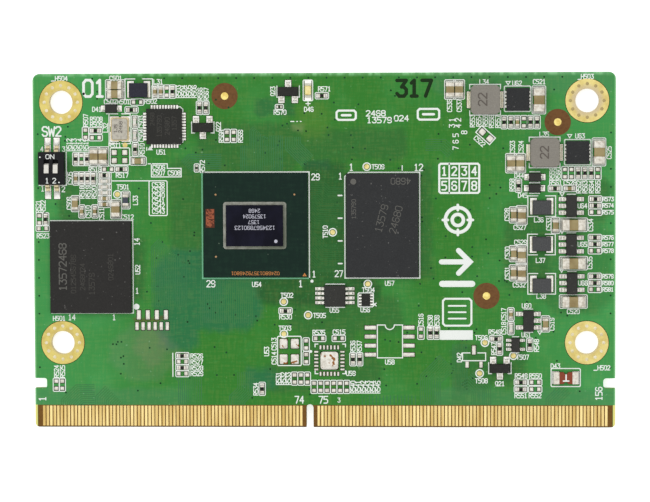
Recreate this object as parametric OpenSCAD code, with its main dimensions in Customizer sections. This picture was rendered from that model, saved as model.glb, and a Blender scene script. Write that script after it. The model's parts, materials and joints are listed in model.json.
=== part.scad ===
// System on module: a small green circuit board with gold contacts along one edge.
// Lengths are in millimetres. X runs along the contact edge, Y away from it and Z up.
// The origin lies under the middle of the board, level with its lowest parts.

/* [Board] */
// Length of the board along its contact edge
board_w = 82; // [74:1:90]
// Depth of the board from the contact edge to the back edge
board_d = 50; // [50:1:80]
// Thickness of the laminate
board_t = 1.2; // [0.8:0.1:2]
// Radius of the two back corners
back_corner_r = 1.0; // [0.4:0.1:2]
// Radius of the two corners beside the contacts
contact_corner_r = 0.6; // [0.2:0.1:0.9]
// Bevel that leads the contact edge into its socket
edge_bevel = 0.2; // [0.1:0.05:0.35]
// Depth of the solder mask, seen where it is left open
mask_t = 0.02; // [0.01:0.005:0.03]

/* [Notches] */
// Middle of the key slot, from the middle of the board
key_x = -2; // [-2.2:0.1:-1.8]
// Width of the key slot
key_w = 1.0; // [0.6:0.1:1.2]
// Depth of the key slot from the contact edge
key_depth = 3.25; // [2.5:0.05:4]
// Depth of the side notches
notch_depth = 1.68; // [1:0.02:2]
// Opening of the side notches
notch_w = 1.42; // [1:0.02:1.8]
// Middle of the side notches above the contact edge
notch_rise = 6.25; // [5:0.05:7]
// Radius of the corners of the left notch
notch_r_left = 0.35; // [0.1:0.05:0.45]
// Radius of the corners of the right notch
notch_r_right = 0.45; // [0.1:0.05:0.48]

/* [Mounting holes] */
// Bore of the plated holes
hole_d = 3.3; // [2.5:0.1:3.5]
// Diameter of the gold pads around the holes
hole_pad_d = 6.1; // [5.9:0.1:6.4]
// Distance of the holes from the side and back edges
hole_inset = 4; // [3.6:0.1:4.2]
// Distance of the front pair of holes from the contact edge
hole_rise = 12; // [11.6:0.1:12.4]
// Thickness of the plating
plating_t = 0.05; // [0.03:0.01:0.08]
// Number of small vias in each pad
pad_vias = 12; // [6:1:16]
// Bore of those vias
pad_via_d = 0.38; // [0.2:0.02:0.5]

/* [Edge contacts] */
// Pitch of the contacts
contact_pitch = 0.5; // [0.4:0.05:0.8]
// Width of one contact
contact_w = 0.35; // [0.2:0.01:0.38]
// Length of the contacts
contact_len = 2.85; // [2:0.05:3.2]
// Thickness of the contacts above the open laminate
contact_t = 0.04; // [0.03:0.01:0.06]
// Distance of the contact zones from the middle of the key slot
key_gap = 1.0; // [0.95:0.05:1.4]
// Distance of the contact zones from the ends of the board
end_gap = 1.0; // [0.95:0.05:2]

/* [Pads and marks] */
// Thickness of the tinned lands
land_t = 0.04; // [0.02:0.01:0.08]
// Opening in the mask around an alignment mark
fiducial_open_d = 3.7; // [2:0.1:3.8]
// Gold dot of an alignment mark
fiducial_d = 1.05; // [0.8:0.05:1.5]
// Gold test points
test_d = 0.7; // [0.5:0.05:0.8]

/* [Processor] */
// Side of the square substrate
cpu_side = 14.7; // [14:0.1:15]
// Thickness of the substrate
cpu_substrate_t = 0.45; // [0.3:0.05:0.6]
// Length of the bare die
die_l = 8.05; // [6:0.05:8.3]
// Width of the bare die
die_w = 5.8; // [4:0.05:6.2]
// Height of the die above the substrate
die_h = 0.55; // [0.45:0.05:0.8]
// Run of the resin fillet around the die
resin_run = 0.42; // [0.2:0.02:0.5]
// Rise of the resin fillet on the die
resin_rise = 0.4; // [0.2:0.02:0.42]
// Pitch of the processor's solder balls
cpu_ball_pitch = 0.5; // [0.45:0.05:0.5]
// Balls along one side of the processor
cpu_ball_n = 29; // [21:2:29]
// Full rings of balls around the rim
cpu_ball_rings = 4; // [2:1:5]
// Balls along the side of the middle block
cpu_ball_core = 11; // [5:2:11]
// Height of the soldered balls
ball_h = 0.24; // [0.15:0.01:0.3]
// Diameter of the soldered balls
ball_d = 0.28; // [0.2:0.01:0.32]

/* [Memory] */
// Width of the memory package
memory_w = 10.2; // [9.6:0.1:10.3]
// Depth of the memory package
memory_d = 14.6; // [14:0.1:14.8]
// Thickness of the memory package
memory_t = 0.8; // [0.6:0.05:1.2]
// Pitch of its ball columns
memory_ball_px = 0.8; // [0.7:0.05:0.8]
// Pitch of its ball rows
memory_ball_py = 0.65; // [0.5:0.05:0.65]
// Diameter of the dimple that marks its first ball
dimple_d = 0.9; // [0.6:0.1:1.2]

/* [Storage] */
// Width of the storage package
storage_w = 11.5; // [10.5:0.1:11.6]
// Depth of the storage package
storage_d = 13.0; // [12:0.1:13.2]
// Thickness of the storage package
storage_t = 0.8; // [0.6:0.05:1.2]
// Pitch of its balls
storage_ball_pitch = 0.5; // [0.45:0.05:0.6]

/* [Option switch] */
// Size of the housing along its row of sliders
switch_w = 3.8; // [3.6:0.05:4]
// Size of the housing along the travel of its sliders
switch_d = 4.65; // [4.4:0.05:4.8]
// Height of the housing
switch_h = 1.45; // [1.35:0.05:1.8]
// Gap between the housing and the lands
switch_lift = 0.08; // [0.05:0.01:0.2]
// Pitch of the two sliders
slider_pitch = 1.27; // [1.27:0.01:1.4]
// Width of a slider's knob
knob_w = 0.66; // [0.5:0.02:0.7]
// Length of a slider's knob
knob_l = 1.2; // [0.9:0.05:1.3]
// Height of a knob above the housing
knob_h = 0.3; // [0.1:0.05:0.5]
// Travel of a slider from off to on
slider_travel = 0.65; // [0.4:0.05:0.8]
// Clearance around a slider
slider_gap = 0.05; // [0.03:0.01:0.08]
// Flange that keeps a slider in the housing
slider_flange = 0.14; // [0.08:0.02:0.18]

/* [Power inductors] */
// Size of the moulded body along its terminals
coil_w = 4.1; // [3.8:0.05:4.2]
// Size of the moulded body across
coil_d = 4.05; // [3.8:0.05:4.2]
// Height of the moulded body
coil_h = 1.9; // [1.2:0.1:2.5]
// Cut of its four corners
coil_cut = 0.42; // [0.2:0.02:0.6]
// Length of the small inductors
choke_w = 2.6; // [2.3:0.05:2.7]
// Width of the small inductors
choke_d = 2.0; // [1.8:0.05:2.1]
// Height of the small inductors
choke_h = 1.15; // [0.8:0.05:1.4]

/* [Chip parts] */
// Length of the small resistors and capacitors
small_l = 1.0; // [0.9:0.05:1.1]
// Width of the small resistors and capacitors
small_w = 0.5; // [0.4:0.02:0.56]
// Length of the medium capacitors
mid_l = 1.6; // [1.4:0.05:1.7]
// Width of the medium capacitors
mid_w = 0.8; // [0.7:0.02:0.84]
// Height of the medium capacitors
mid_h = 0.8; // [0.6:0.05:1]
// Length of the wide capacitors
wide_l = 2.0; // [1.8:0.05:2.1]
// Width of the wide capacitors
wide_w = 1.15; // [1:0.01:1.2]
// Height of the wide capacitors
wide_h = 1.0; // [0.7:0.05:1.4]
// Length of the large capacitors
large_l = 3.2; // [2.8:0.05:3.3]
// Width of the large capacitors
large_w = 1.5; // [1.3:0.05:1.6]
// Wrap of the metal end caps over the ceramic
cap_skin = 0.02; // [0.01:0.005:0.04]
// Margin of a land beside its part
land_side = 0.04; // [0.02:0.01:0.06]
// Height of small resistors
resistor_h = 0.35; // [0.25:0.05:0.5]
// Height of small capacitors
small_cap_h = 0.5; // [0.3:0.05:0.55]
// Height of the large capacitors
large_cap_h = 1.5; // [1:0.1:1.8]
// Gap between two capacitors side by side
pair_gap = 0.1; // [0.05:0.01:0.15]
// Columns and rows of capacitors under the processor
under_grid = 4; // [2:1:5]
// Pitch of the capacitors under the processor
under_pitch = 2.6; // [2.4:0.1:2.8]

/* [Leaded parts] */
// Thickness of the bent leads
lead_t = 0.13; // [0.1:0.01:0.18]
// Gap between a moulded body and the lands
body_lift = 0.08; // [0.04:0.01:0.12]
// Slope of the moulded sides, as an inset at top and bottom
mould_draft = 0.08; // [0.02:0.01:0.12]

/* [Hidden] */
$fn = 40;
over = 1;
// Share of a slot's width that its corner radius takes when the end is nearly round
round_share = 0.49;
// Places are given from the middle of the board along X, and along Y from a line
// at this distance behind the contact edge. They hold for a board of this length.
datum_rise = 25;
placed_w = 82;
// Parts left of the first line keep their distance from the left end of the board,
// and parts right of the second line from its right end
left_zone = -11;
right_zone = 16.5;
shift_y = datum_rise - board_d / 2;
board_l = -board_w / 2;
board_r = board_w / 2;
board_front = -datum_rise;
board_back = board_d - datum_rise;
function drift(x) = (x < left_zone ? -1 : x > right_zone ? 1 : 0) * (board_w - placed_w) / 2;

// Chip sizes: length, width, height, end cap, length of land beyond the part
c0201 = [0.6, 0.3, 0.25, 0.15, 0.12];
c0402 = [small_l, small_w, small_cap_h, small_l * 0.25, 0.28];
r0402 = [small_l, small_w, resistor_h, small_l * 0.25, 0.28];
c0603 = [mid_l, mid_w, mid_h, mid_l * 0.22, 0.18];
c0805 = [wide_l, wide_w, wide_h, wide_l * 0.28, 0.2];
c1206 = [large_l, large_w, large_cap_h, large_l * 0.31, 0.2];
bead_c = [mid_l, mid_w, mid_h, mid_l * 0.25, 0.3];
fuse_c = [3.4, 1.7, 0.7, 0.78, 0.2];

z_bottom = small_cap_h + land_t;
z_top = z_bottom + board_t;

// Rows of small chips: first place, step, turn, and one letter for each place.
// R is a resistor, C a capacitor and a dash a place left empty.
small_rows = [
    [-23.65, 22.45, 0.82, 0, 90, "CC-R"],
    [-17.4, 20.15, 0.9, 0, 90, "RR"],
    [-33.55, 16.55, 0, 0, 90, "-"],
    [-34.95, 13.0, 0.8, 0, 90, "R-R"],
    [-34.95, 10.25, 0.82, 0, 90, "CRRR"],
    [-40.2, 4.5, 0.9, 0, 90, "-R"],
    [-34.15, 5.6, 1.85, 0, 90, "CC"],
    [-26.5, 14.35, 0, 0, 90, "R"],
    [-26.55, 18.2, 0, -1.9, 90, "CC"],
    [-13.55, 16.2, 0.95, 0, 90, "--"],
    [25.4, 18.0, 0.92, 0, 90, "RRC-RR"],
    [33.9, 10.85, 0.92, 0, 90, "--RRR-"],
    [27.4, 9.1, 0, 0, 90, "R"],
    [26.35, -9.0, 0, -1.95, 90, "CC"],
    [-38.0, -19.0, 0.85, 0, 90, "--"],
    [13.7, -11.6, 0, 0, 90, "-"],
    [15.03, -11.6, 0.87, 0, 90, "RR"],
    [-2.5, -13.25, 0, -1.95, 90, "--"],
    [-4.17, -18.1, 0.91, 0, 90, "---"],
    [-1.4, -19.27, 0.92, 0, 90, "------"],
    [4.1, -15.35, 0.95, 0, 90, "RR"],
    [-8.75, -19.55, 0, 0, 90, "R"],
    [24.75, -13.85, 0, 0, 90, "R"],
    [29.0, -13.3, 0, 0, 90, "R"],
    [-26.2, 21.0, 0, 0, 0, "-"],
    [-27.0, 19.9, 0, 0, 0, "R"],
    [-32.1, 17.0, 0, -1.0, 0, "R-"],
    [-30.4, 11.55, 1.9, 0, 0, "-R"],
    [-30.9, 10.7, 0, -0.82, 0, "RCCCCC"],
    [-39.75, 3.2, 0, 0, 0, "-"],
    [-0.15, 21.8, 0, 0, 0, "R"],
    [32.5, 8.7, 2.05, 0, 0, "RC"],
    [38.15, 7.2, 0, -0.92, 0, "RR-"],
    [38.1, 1.8, 0, -0.93, 0, "RR-"],
    [38.1, -3.65, 0, -0.92, 0, "RR-"],
    [-5.4, -8.5, 0, 0, 0, "R"],
    [-20.05, -14.85, 0, -0.85, 0, "R-R-"],
    [24.25, -12.45, 0, 0, 0, "R"],
    [27.75, -18.6, 0, -1.0, 0, "RR"],
    [29.77, -18.6, 0, -1.0, 0, "--"],
    [-0.65, -12.4, 2.75, 0, 0, "--"]
];
// Larger chips: place, turn, and how many stand side by side
tiny_at = [[-6.15, 20.25, 0], [-17.85, 11.7, 90]];
mid_at = [
    [-35.05, 6.7, 90], [-26.1, 12.7, 0], [26.72, 5.0, 90], [26.72, -0.45, 90],
    [26.72, -3.15, 90], [32.6, 3.5, 90], [31.2, -10.35, 90]
];
wide_at = [
    [-29.3, 22.75, 0, 2], [-31.68, 13.35, 90, 2], [18.46, 22.6, 90, 2], [27.0, 12.25, 90, 2],
    [-29.3, 5.9, 90, 1], [27.85, 4.95, 90, 1], [27.85, -0.6, 90, 1], [27.85, -3.2, 90, 1]
];
large_at = [[30.25, 21.1, 90], [38.65, 13.8, 90], [35.1, 3.6, 0], [35.1, -1.8, 0], [35.1, -7.2, 0]];
bead_at = [-27.9, 7.2, 90];
fuse_at = [34.05, -17.95, 0];
led_at = [-2.1, 22.55, 90];
crystal_at = [-28.65, 17.2, 90];

// Packages with bent leads: across the leads, along the row, height, reach, lead width,
// land length, land width
sot3 = [1.3, 2.9, 0.95, 0.55, 0.42, 0.95, 0.85];
sot5 = [1.5, 3.0, 1.0, 0.65, 0.4, 1.0, 0.58];
sc5 = [1.2, 2.0, 0.85, 0.45, 0.24, 0.72, 0.4];
msop8 = [3.0, 3.0, 0.85, 0.95, 0.3, 1.25, 0.42];
sod2 = [1.7, 1.2, 0.9, 0.42, 0.36, 0.62, 0.85];
sot3_pins = [[0], [-0.95, 0.95]];
sot5_pins = [[-0.95, 0, 0.95], [-0.95, 0.95]];
sc5_pins = [[-0.63, 0, 0.63], [-0.63, 0.63]];
msop8_pins = [[-0.975, -0.325, 0.325, 0.975], [-0.975, -0.325, 0.325, 0.975]];
sod2_pins = [[0], [0]];
regulator_at = [[34.8, 6.25, 0], [34.8, 0.82, 0], [34.9, -4.6, 0], [28.8, -9.9, 180]];
gate_at = [27.0, -13.3, 0];
transistor_at = [[-16.95, 17.4, 90], [-4.9, 22.4, 270], [24.8, -16.6, 90]];
driver_at = [1.58, -6.35, 0];
diode_at = [[-29.85, 20.1, 0], [29.7, 10.3, 0], [29.65, 8.75, 0]];
switch_at = [-38.28, 11.7, 90];
switch_lead = [0.9, 0.62, 2.0, 0.85];

// Leadless packages: width, depth, height, lead pitch, leads on the two sides,
// leads at the two ends, lead width, lead length, land beyond the body, heat pad
qfn40 = [5.0, 5.0, 0.85, 0.4, 10, 10, 0.22, 0.4, 0.5, 3.4];
dfn10 = [3.2, 3.2, 0.9, 0.5, 5, 0, 0.27, 0.45, 0.2, 1.6];
dfn8 = [1.2, 1.7, 0.5, 0.43, 4, 0, 0.2, 0.3, 0.38, 0];
leadframe_t = 0.2;
controller_at = [-22.35, 17.55, 0];
converter_at = [[27.3, 21.2, 0], [35.65, 13.75, 0]];
sensor_at = [5.95, -6.95, 0];

// Inductors: place, and how far the body sits off the middle of its lands
coil_at = [[22.73, 21.15, 0], [31.05, 13.75, 0]];
coil_clip = [0.14, 2.3, 1.0, 0.9, 0.5];
choke_at = [[-25.95, 22.8, -0.14], [30.66, 6.22, -0.16], [30.62, 0.83, 0.12], [30.66, -4.7, -0.22]];
choke_clip = [0.07, 1.9, 0.55, 0.6, 0.32];
choke_land_d = 2.3;

cpu_at = [-9.55, 3.65, 0];
die_shift = [-0.1, -0.05];
resin_steps = 6;
memory_at = [8.3, 3.58, 0];
dimple_inset = [1.1, 1.1];
dimple_t = 0.04;
storage_at = [-32.87, -2.25, 0];
memory_half = [5, 10];
memory_split = [2, 2];
storage_n = 14;
storage_ring = 3;
storage_core = 6;
top_cut = 0.1;

crystal_base_s = [3.3, 2.55, 0.45];
crystal_lid_s = [2.95, 2.2, 0.25];
crystal_r = 0.25;
crystal_land = [1.15, 0.95];
crystal_out = 0.14;
led_base_s = [2.0, 0.95, 0.25];
led_lens_s = [1.3, 0.9, 0.4];
led_land = [0.5, 0.95];
fuse_nick_r = 0.3;

// Marks and empty footprints
fiducial_at = [[-13.85, 21.8], [32.88, 18.0], [22.92, -6.4]];
test_at = [
    [-27.95, 14.95], [-29.1, 8.0], [6.13, 11.82], [1.3, 2.6], [6.23, -4.7], [-5.65, -7.2],
    [-2.2, -9.1], [-5.65, -11.75], [22.7, -13.0], [26.7, -14.85], [21.95, -17.35]
];
via_ring_r = 2.35;
// Open mask around the contacts: left covered at the ends, and open past the contacts
mask_margin = 0.35;
mask_rim = 0.1;
// Empty footprints: place of the middle, columns, rows, column pitch, row pitch, pad size
empty_grids = [
    [-28.75, 13.33, 2, 2, 1.5, 1.15, 0.75, 0.75],
    [-4.9, -14.25, 2, 2, 1.6, 2.2, 1.15, 1.4],
    [9.29, -12.79, 2, 4, 5.42, 1.277, 1.65, 0.58],
    [-24.26, -9.05, 4, 1, 1.28, 0, 0.6, 1.35],
    [-24.3, -10.65, 6, 1, 0.86, 0, 0.5, 1.15],
    [0.77, -15.55, 2, 6, 3.7, 0.5, 0.6, 0.27],
    [0.77, -15.55, 6, 2, 0.5, 3.75, 0.27, 0.6],
    [0.77, -15.55, 1, 1, 0, 0, 2.5, 2.5],
    [21.15, -14.05, 1, 1, 0, 0, 0.55, 1.3],
    [21.17, -16.1, 2, 1, 1.95, 0, 0.5, 0.9]
];
slant_at = [22.87, 16.17, -42];
slant_pitch = 1.42;
slant_pad = 0.86;

slider_rest = -0.05;
slider_floor = 0.35;
flange_h = 0.4;
knob_step = 0.12;
under_memory = [2, 4];

// Puts a part on the upper face of the board
module on_top(p, lift = 0)
    translate([p[0] + drift(p[0]), p[1] + shift_y, z_top + lift])
        rotate(len(p) > 2 ? p[2] : 0)
            children();

// Puts a part upside down on the lower face
module on_under(p, lift = 0)
    translate([p[0] + drift(p[0]), p[1] + shift_y, z_bottom - lift])
        mirror([0, 0, 1])
            children();

module block(s) translate([-s[0] / 2, -s[1] / 2, 0]) cube(s);

module round_plate(s, r)
    linear_extrude(s[2]) {
        square([s[0] - 2 * r, s[1]], center = true);
        square([s[0], s[1] - 2 * r], center = true);
        for (x = [-1, 1], y = [-1, 1])
            translate([x * (s[0] / 2 - r), y * (s[1] / 2 - r)]) circle(r);
    }

// A prism along Y from a profile drawn in X and Z
module along_y(l) rotate([90, 0, 0]) linear_extrude(l, center = true) children();

// Moulded block with sloping sides above and below its parting band
module moulded(w, d, h, band_z, band_t) {
    intersection() {
        along_y(2 * d) mould_profile(w, h, band_z, band_t);
        rotate(90) along_y(2 * w) mould_profile(d, h, band_z, band_t);
    }
}

module mould_profile(w, h, band_z, band_t)
    polygon([
        [-w / 2 + mould_draft, 0], [w / 2 - mould_draft, 0],
        [w / 2, band_z], [w / 2, band_z + band_t],
        [w / 2 - mould_draft, h], [-w / 2 + mould_draft, h],
        [-w / 2, band_z + band_t], [-w / 2, band_z]
    ]);

// Block whose upper edges are cut at an angle
module eased_block(s, cut) {
    intersection() {
        along_y(2 * s[1]) eased_profile(s[0], s[2], cut);
        rotate(90) along_y(2 * s[0]) eased_profile(s[1], s[2], cut);
    }
}

module eased_profile(w, h, cut)
    polygon([[-w / 2, 0], [w / 2, 0], [w / 2, h - cut], [w / 2 - cut, h],
        [-w / 2 + cut, h], [-w / 2, h - cut]]);

// Two-ended chip: ceramic core, wrapped end caps and the lands under them
module chip_core(c)
    translate([0, 0, cap_skin])
        block([c[0] - 2 * cap_skin, c[1] - 2 * cap_skin, c[2] - 2 * cap_skin]);

module chip_caps(c)
    for (s = [-1, 1])
        difference() {
            translate([s * (c[0] - c[3]) / 2, 0, 0]) block([c[3], c[1], c[2]]);
            chip_core(c);
        }

module chip_lands(c)
    for (s = [-1, 1])
        translate([s * (c[0] - c[3] + c[4]) / 2, 0, 0])
            block([c[3] + c[4], c[1] + 2 * land_side, land_t]);

module small_chips(kind, lift = 0)
    for (r = small_rows)
        for (i = [0 : len(r[5]) - 1])
            if (r[5][i] == kind)
                on_top([r[0] + i * r[2], r[1] + i * r[3], r[4]], lift) children();

module wide_chips(lift = 0)
    for (p = wide_at)
        for (i = [0 : p[3] - 1])
            on_top(p, lift)
                translate([0, (i - (p[3] - 1) / 2) * (c0805[1] + pair_gap), 0]) children();

module under_grid_at(p, columns, rows, lift)
    for (x = [0 : columns - 1], y = [0 : rows - 1])
        on_under(p, lift)
            translate([(x - (columns - 1) / 2) * under_pitch, (y - (rows - 1) / 2) * under_pitch, 0])
                children();

module under_chips(lift = 0) {
    under_grid_at(cpu_at, under_grid, under_grid, lift) children();
    under_grid_at(memory_at, under_memory[0], under_memory[1], lift) children();
}

// Bent lead that leaves the body at height z and stands on its foot
module gull(reach, z, w)
    along_y(w)
        polygon([
            [0, z], [reach / 3, z], [reach / 2 + lead_t / 2, lead_t], [reach, lead_t], [reach, 0],
            [reach / 2 - lead_t / 2, 0], [reach / 3 - lead_t, z - lead_t], [0, z - lead_t]
        ]);

function lead_z(p) = body_lift + p[2] / 2;

module leaded_body(p)
    translate([0, 0, body_lift])
        moulded(p[0], p[1], p[2], p[2] / 2 - lead_t, lead_t);

module leaded_leads(p, pins)
    for (s = [0, 1])
        for (y = pins[s])
            translate([(2 * s - 1) * p[0] / 2, y, 0]) rotate(s == 1 ? 0 : 180) gull(p[3], lead_z(p), p[4]);

module leaded_lands(p, pins)
    for (s = [0, 1])
        for (y = pins[s])
            translate([(2 * s - 1) * (p[0] + p[5]) / 2, y, 0]) block([p[5], p[6], land_t]);

// Leadless package: the leads lie flush in the underside of the moulding
module leadless_pins(p, l, w, h, beyond) {
    if (p[4] > 0)
        for (s = [-1, 1], i = [0 : p[4] - 1])
            translate([s * (p[0] / 2 - l / 2 + beyond), (i - (p[4] - 1) / 2) * p[3], 0]) block([l, w, h]);
    if (p[5] > 0)
        for (s = [-1, 1], i = [0 : p[5] - 1])
            translate([(i - (p[5] - 1) / 2) * p[3], s * (p[1] / 2 - l / 2 + beyond), 0]) block([w, l, h]);
}

module leadless_leads(p) {
    leadless_pins(p, p[7], p[6], leadframe_t, 0);
    if (p[9] > 0) block([p[9], p[9], leadframe_t]);
}

module leadless_body(p)
    difference() {
        block([p[0], p[1], p[2]]);
        leadless_leads(p);
    }

module leadless_lands(p) {
    leadless_pins(p, p[7] + p[8], p[6] + land_side, land_t, p[8]);
    if (p[9] > 0) block([p[9], p[9], land_t]);
}

// Folded clip terminals: foot under the body, plate up its end
module clips(w, c)
    for (s = [0, 180])
        rotate(s)
            along_y(c[1])
                polygon([
                    [w / 2 - c[3], 0], [w / 2 + c[0], 0], [w / 2 + c[0], c[2]], [w / 2, c[2]],
                    [w / 2, c[0]], [w / 2 - c[3], c[0]]
                ]);

module clip_lands(w, c, d)
    for (s = [-1, 1])
        translate([s * (w / 2 - c[3] / 2 + c[4] / 2), 0, 0]) block([c[3] + c[4], d, land_t]);

module ball() cylinder(h = ball_h, d = ball_d);

function on_ring(i, n, k) = min(i, n - 1 - i) < k;
function from_middle(x, y, n) = max(abs(x - (n - 1) / 2), abs(y - (n - 1) / 2));

module contact(x, y_len) translate([x - contact_w / 2, board_front + edge_bevel, 0])
    cube([contact_w, y_len, contact_t]);

// Contacts run outward from the key slot as far as the ends of the board allow
function contact_n(room, stagger) =
    floor((room - key_gap - end_gap) / contact_pitch + contact_pitch / 100) + (stagger ? 1 : 0);

module contact_row(stagger) {
    lead_in = stagger ? 0 : contact_pitch / 2;
    for (i = [0 : contact_n(key_x - board_l, stagger) - 1])
        contact(key_x - key_gap - lead_in - i * contact_pitch, contact_len);
    for (i = [0 : contact_n(board_r - key_x, stagger) - 1])
        contact(key_x + key_gap + lead_in + i * contact_pitch, contact_len);
}

module corner_waste(r) difference() {
    translate([-over, -over]) square(r + over);
    translate([r, r]) circle(r);
}

module slot_2d(w, l, r) {
    translate([-over, -w / 2]) square([l - r + over, w]);
    translate([0, -w / 2 + r]) square([l, w - 2 * r]);
    for (s = [-1, 1]) translate([l - r, s * (w / 2 - r)]) circle(r);
}

module board_outline() difference() {
    translate([board_l, board_front]) square([board_w, board_d]);
    translate([board_l, board_front]) corner_waste(contact_corner_r);
    translate([board_r, board_front]) rotate(90) corner_waste(contact_corner_r);
    translate([board_r, board_back]) rotate(180) corner_waste(back_corner_r);
    translate([board_l, board_back]) rotate(270) corner_waste(back_corner_r);
    translate([board_l, board_front + notch_rise]) slot_2d(notch_w, notch_depth, notch_r_left);
    translate([board_r, board_front + notch_rise]) rotate(180) slot_2d(notch_w, notch_depth, notch_r_right);
    translate([key_x, board_front]) rotate(90) slot_2d(key_w, key_depth, key_w * round_share);
}

function hole_places() = [
    for (x = [board_l + hole_inset, board_r - hole_inset])
        for (y = [board_back - hole_inset, board_front + hole_rise]) [x, y]
];

// Square bar turned on its edge, which cuts a bevel along the contact edge
module bevel_bar(z)
    translate([0, -board_d / 2, z])
        rotate([45, 0, 0]) cube([board_w + over, edge_bevel, edge_bevel], center = true);

module circuit_board() color([0.16, 0.47, 0.24])
    difference() {
        translate([0, shift_y, z_bottom]) linear_extrude(board_t) board_outline();
        for (p = hole_places())
            translate([p[0], p[1] + shift_y, z_bottom - over])
                cylinder(h = board_t + 2 * over, d = hole_d + 2 * plating_t);
        for (p = fiducial_at) on_top(p, -mask_t) cylinder(h = over, d = fiducial_open_d);
        for (z = [z_top - mask_t, z_bottom + mask_t - over])
            translate([-board_w / 2 + mask_margin, -board_d / 2 - over, z])
                cube([board_w - 2 * mask_margin, contact_len + edge_bevel + mask_rim + over, over]);
        for (z = [z_bottom, z_top]) bevel_bar(z);
    }

module mounting_hole_plating() color([0.83, 0.66, 0.3])
    for (p = hole_places())
        translate([p[0], p[1] + shift_y, z_top])
            difference() {
                rotate_extrude()
                    polygon([
                        [hole_d / 2, plating_t], [hole_pad_d / 2, plating_t], [hole_pad_d / 2, 0],
                        [hole_d / 2 + plating_t, 0], [hole_d / 2 + plating_t, -board_t],
                        [hole_pad_d / 2, -board_t], [hole_pad_d / 2, -board_t - plating_t],
                        [hole_d / 2, -board_t - plating_t]
                    ]);
                for (i = [0 : pad_vias - 1])
                    rotate(i * 360 / pad_vias)
                        translate([via_ring_r, 0, 0]) cylinder(h = over, d = pad_via_d);
            }

module contacts_top() color([0.85, 0.68, 0.32])
    on_top([0, 0], -mask_t) contact_row(false);

module contacts_bottom() color([0.85, 0.68, 0.32])
    on_under([0, 0], -mask_t) contact_row(true);

module fiducial_dots() color([0.85, 0.68, 0.32])
    for (p = fiducial_at) on_top(p, -mask_t) cylinder(h = contact_t, d = fiducial_d);

module test_points() color([0.85, 0.68, 0.32])
    for (p = test_at) on_top(p) cylinder(h = land_t, d = test_d);

module component_lands() color([0.8, 0.81, 0.8]) {
    small_chips("R") chip_lands(r0402);
    small_chips("C") chip_lands(c0402);
    wide_chips() chip_lands(c0805);
    under_chips() chip_lands(c0402);
    for (p = tiny_at) on_top(p) chip_lands(c0201);
    for (p = mid_at) on_top(p) chip_lands(c0603);
    for (p = large_at) on_top(p) chip_lands(c1206);
    on_top(bead_at) chip_lands(bead_c);
    on_top(fuse_at) chip_lands(fuse_c);
    for (p = regulator_at) on_top(p) leaded_lands(sot5, sot5_pins);
    for (p = transistor_at) on_top(p) leaded_lands(sot3, sot3_pins);
    for (p = diode_at) on_top(p) leaded_lands(sod2, sod2_pins);
    on_top(gate_at) leaded_lands(sc5, sc5_pins);
    on_top(driver_at) leaded_lands(msop8, msop8_pins);
    on_top(switch_at) leaded_lands(switch_pack(), switch_pins());
    on_top(controller_at) leadless_lands(qfn40);
    for (p = converter_at) on_top(p) leadless_lands(dfn10);
    on_top(sensor_at) leadless_lands(dfn8);
    for (p = coil_at) on_top(p) clip_lands(coil_w, coil_clip, coil_clip[1]);
    for (p = choke_at) on_top([p[0], p[1]]) clip_lands(choke_w, choke_clip, choke_land_d);
    on_top(crystal_at)
        for (x = [-1, 1], y = [-1, 1])
            translate([x * (crystal_base_s[0] - crystal_land[0]) / 2,
                y * (crystal_base_s[1] - crystal_land[1]) / 2, 0])
                block([crystal_land[0] + 2 * crystal_out, crystal_land[1] + 2 * crystal_out, land_t]);
    on_top(led_at)
        for (x = [-1, 1])
            translate([x * led_base_s[0] / 2, 0, 0])
                block([led_land[0] * 2 - 4 * land_side, led_land[1], land_t]);
}

module bare_pads() color([0.86, 0.87, 0.85]) {
    small_chips("-") chip_lands(r0402);
    for (g = empty_grids)
        for (x = [0 : g[2] - 1], y = [0 : g[3] - 1])
            on_top([g[0] + (x - (g[2] - 1) / 2) * g[4], g[1] + (y - (g[3] - 1) / 2) * g[5]])
                block([g[6], g[7], land_t]);
    on_top(slant_at)
        for (s = [-1, 1]) translate([s * slant_pitch / 2, 0, 0]) block([slant_pad, slant_pad, land_t]);
}

module processor_substrate() color([0.1, 0.26, 0.18])
    on_top(cpu_at, ball_h) block([cpu_side, cpu_side, cpu_substrate_t]);

module at_die()
    on_top(cpu_at, ball_h + cpu_substrate_t) translate([die_shift[0], die_shift[1], 0]) children();

module processor_die() color([0.12, 0.15, 0.26])
    at_die() block([die_l, die_w, die_h]);

// Cured resin that climbs the sides of the die in a hollow fillet
module resin_profile(start)
    polygon(concat(
        [[start, 0]],
        [for (i = [0 : resin_steps])
            let (a = i * 90 / resin_steps)
                [start + resin_run * (1 - sin(a)), resin_rise * (1 - cos(a))]]
    ));

module processor_resin() color([0.6, 0.62, 0.64])
    at_die() {
        for (t = [0, 180])
            rotate(t) {
                along_y(die_w) resin_profile(die_l / 2);
                rotate(90) along_y(die_l) resin_profile(die_w / 2);
            }
        for (t = [0 : 3])
            translate([(t == 0 || t == 3 ? 1 : -1) * die_l / 2, (t < 2 ? 1 : -1) * die_w / 2, 0])
                rotate(t * 90) rotate_extrude(angle = 90) resin_profile(0);
    }

module processor_balls() color([0.75, 0.76, 0.77])
    on_top(cpu_at)
        for (x = [0 : cpu_ball_n - 1], y = [0 : cpu_ball_n - 1])
            if (on_ring(x, cpu_ball_n, cpu_ball_rings) || on_ring(y, cpu_ball_n, cpu_ball_rings)
                || from_middle(x, y, cpu_ball_n) <= (cpu_ball_core - 1) / 2)
                translate([(x - (cpu_ball_n - 1) / 2) * cpu_ball_pitch,
                    (y - (cpu_ball_n - 1) / 2) * cpu_ball_pitch, 0]) ball();

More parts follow.
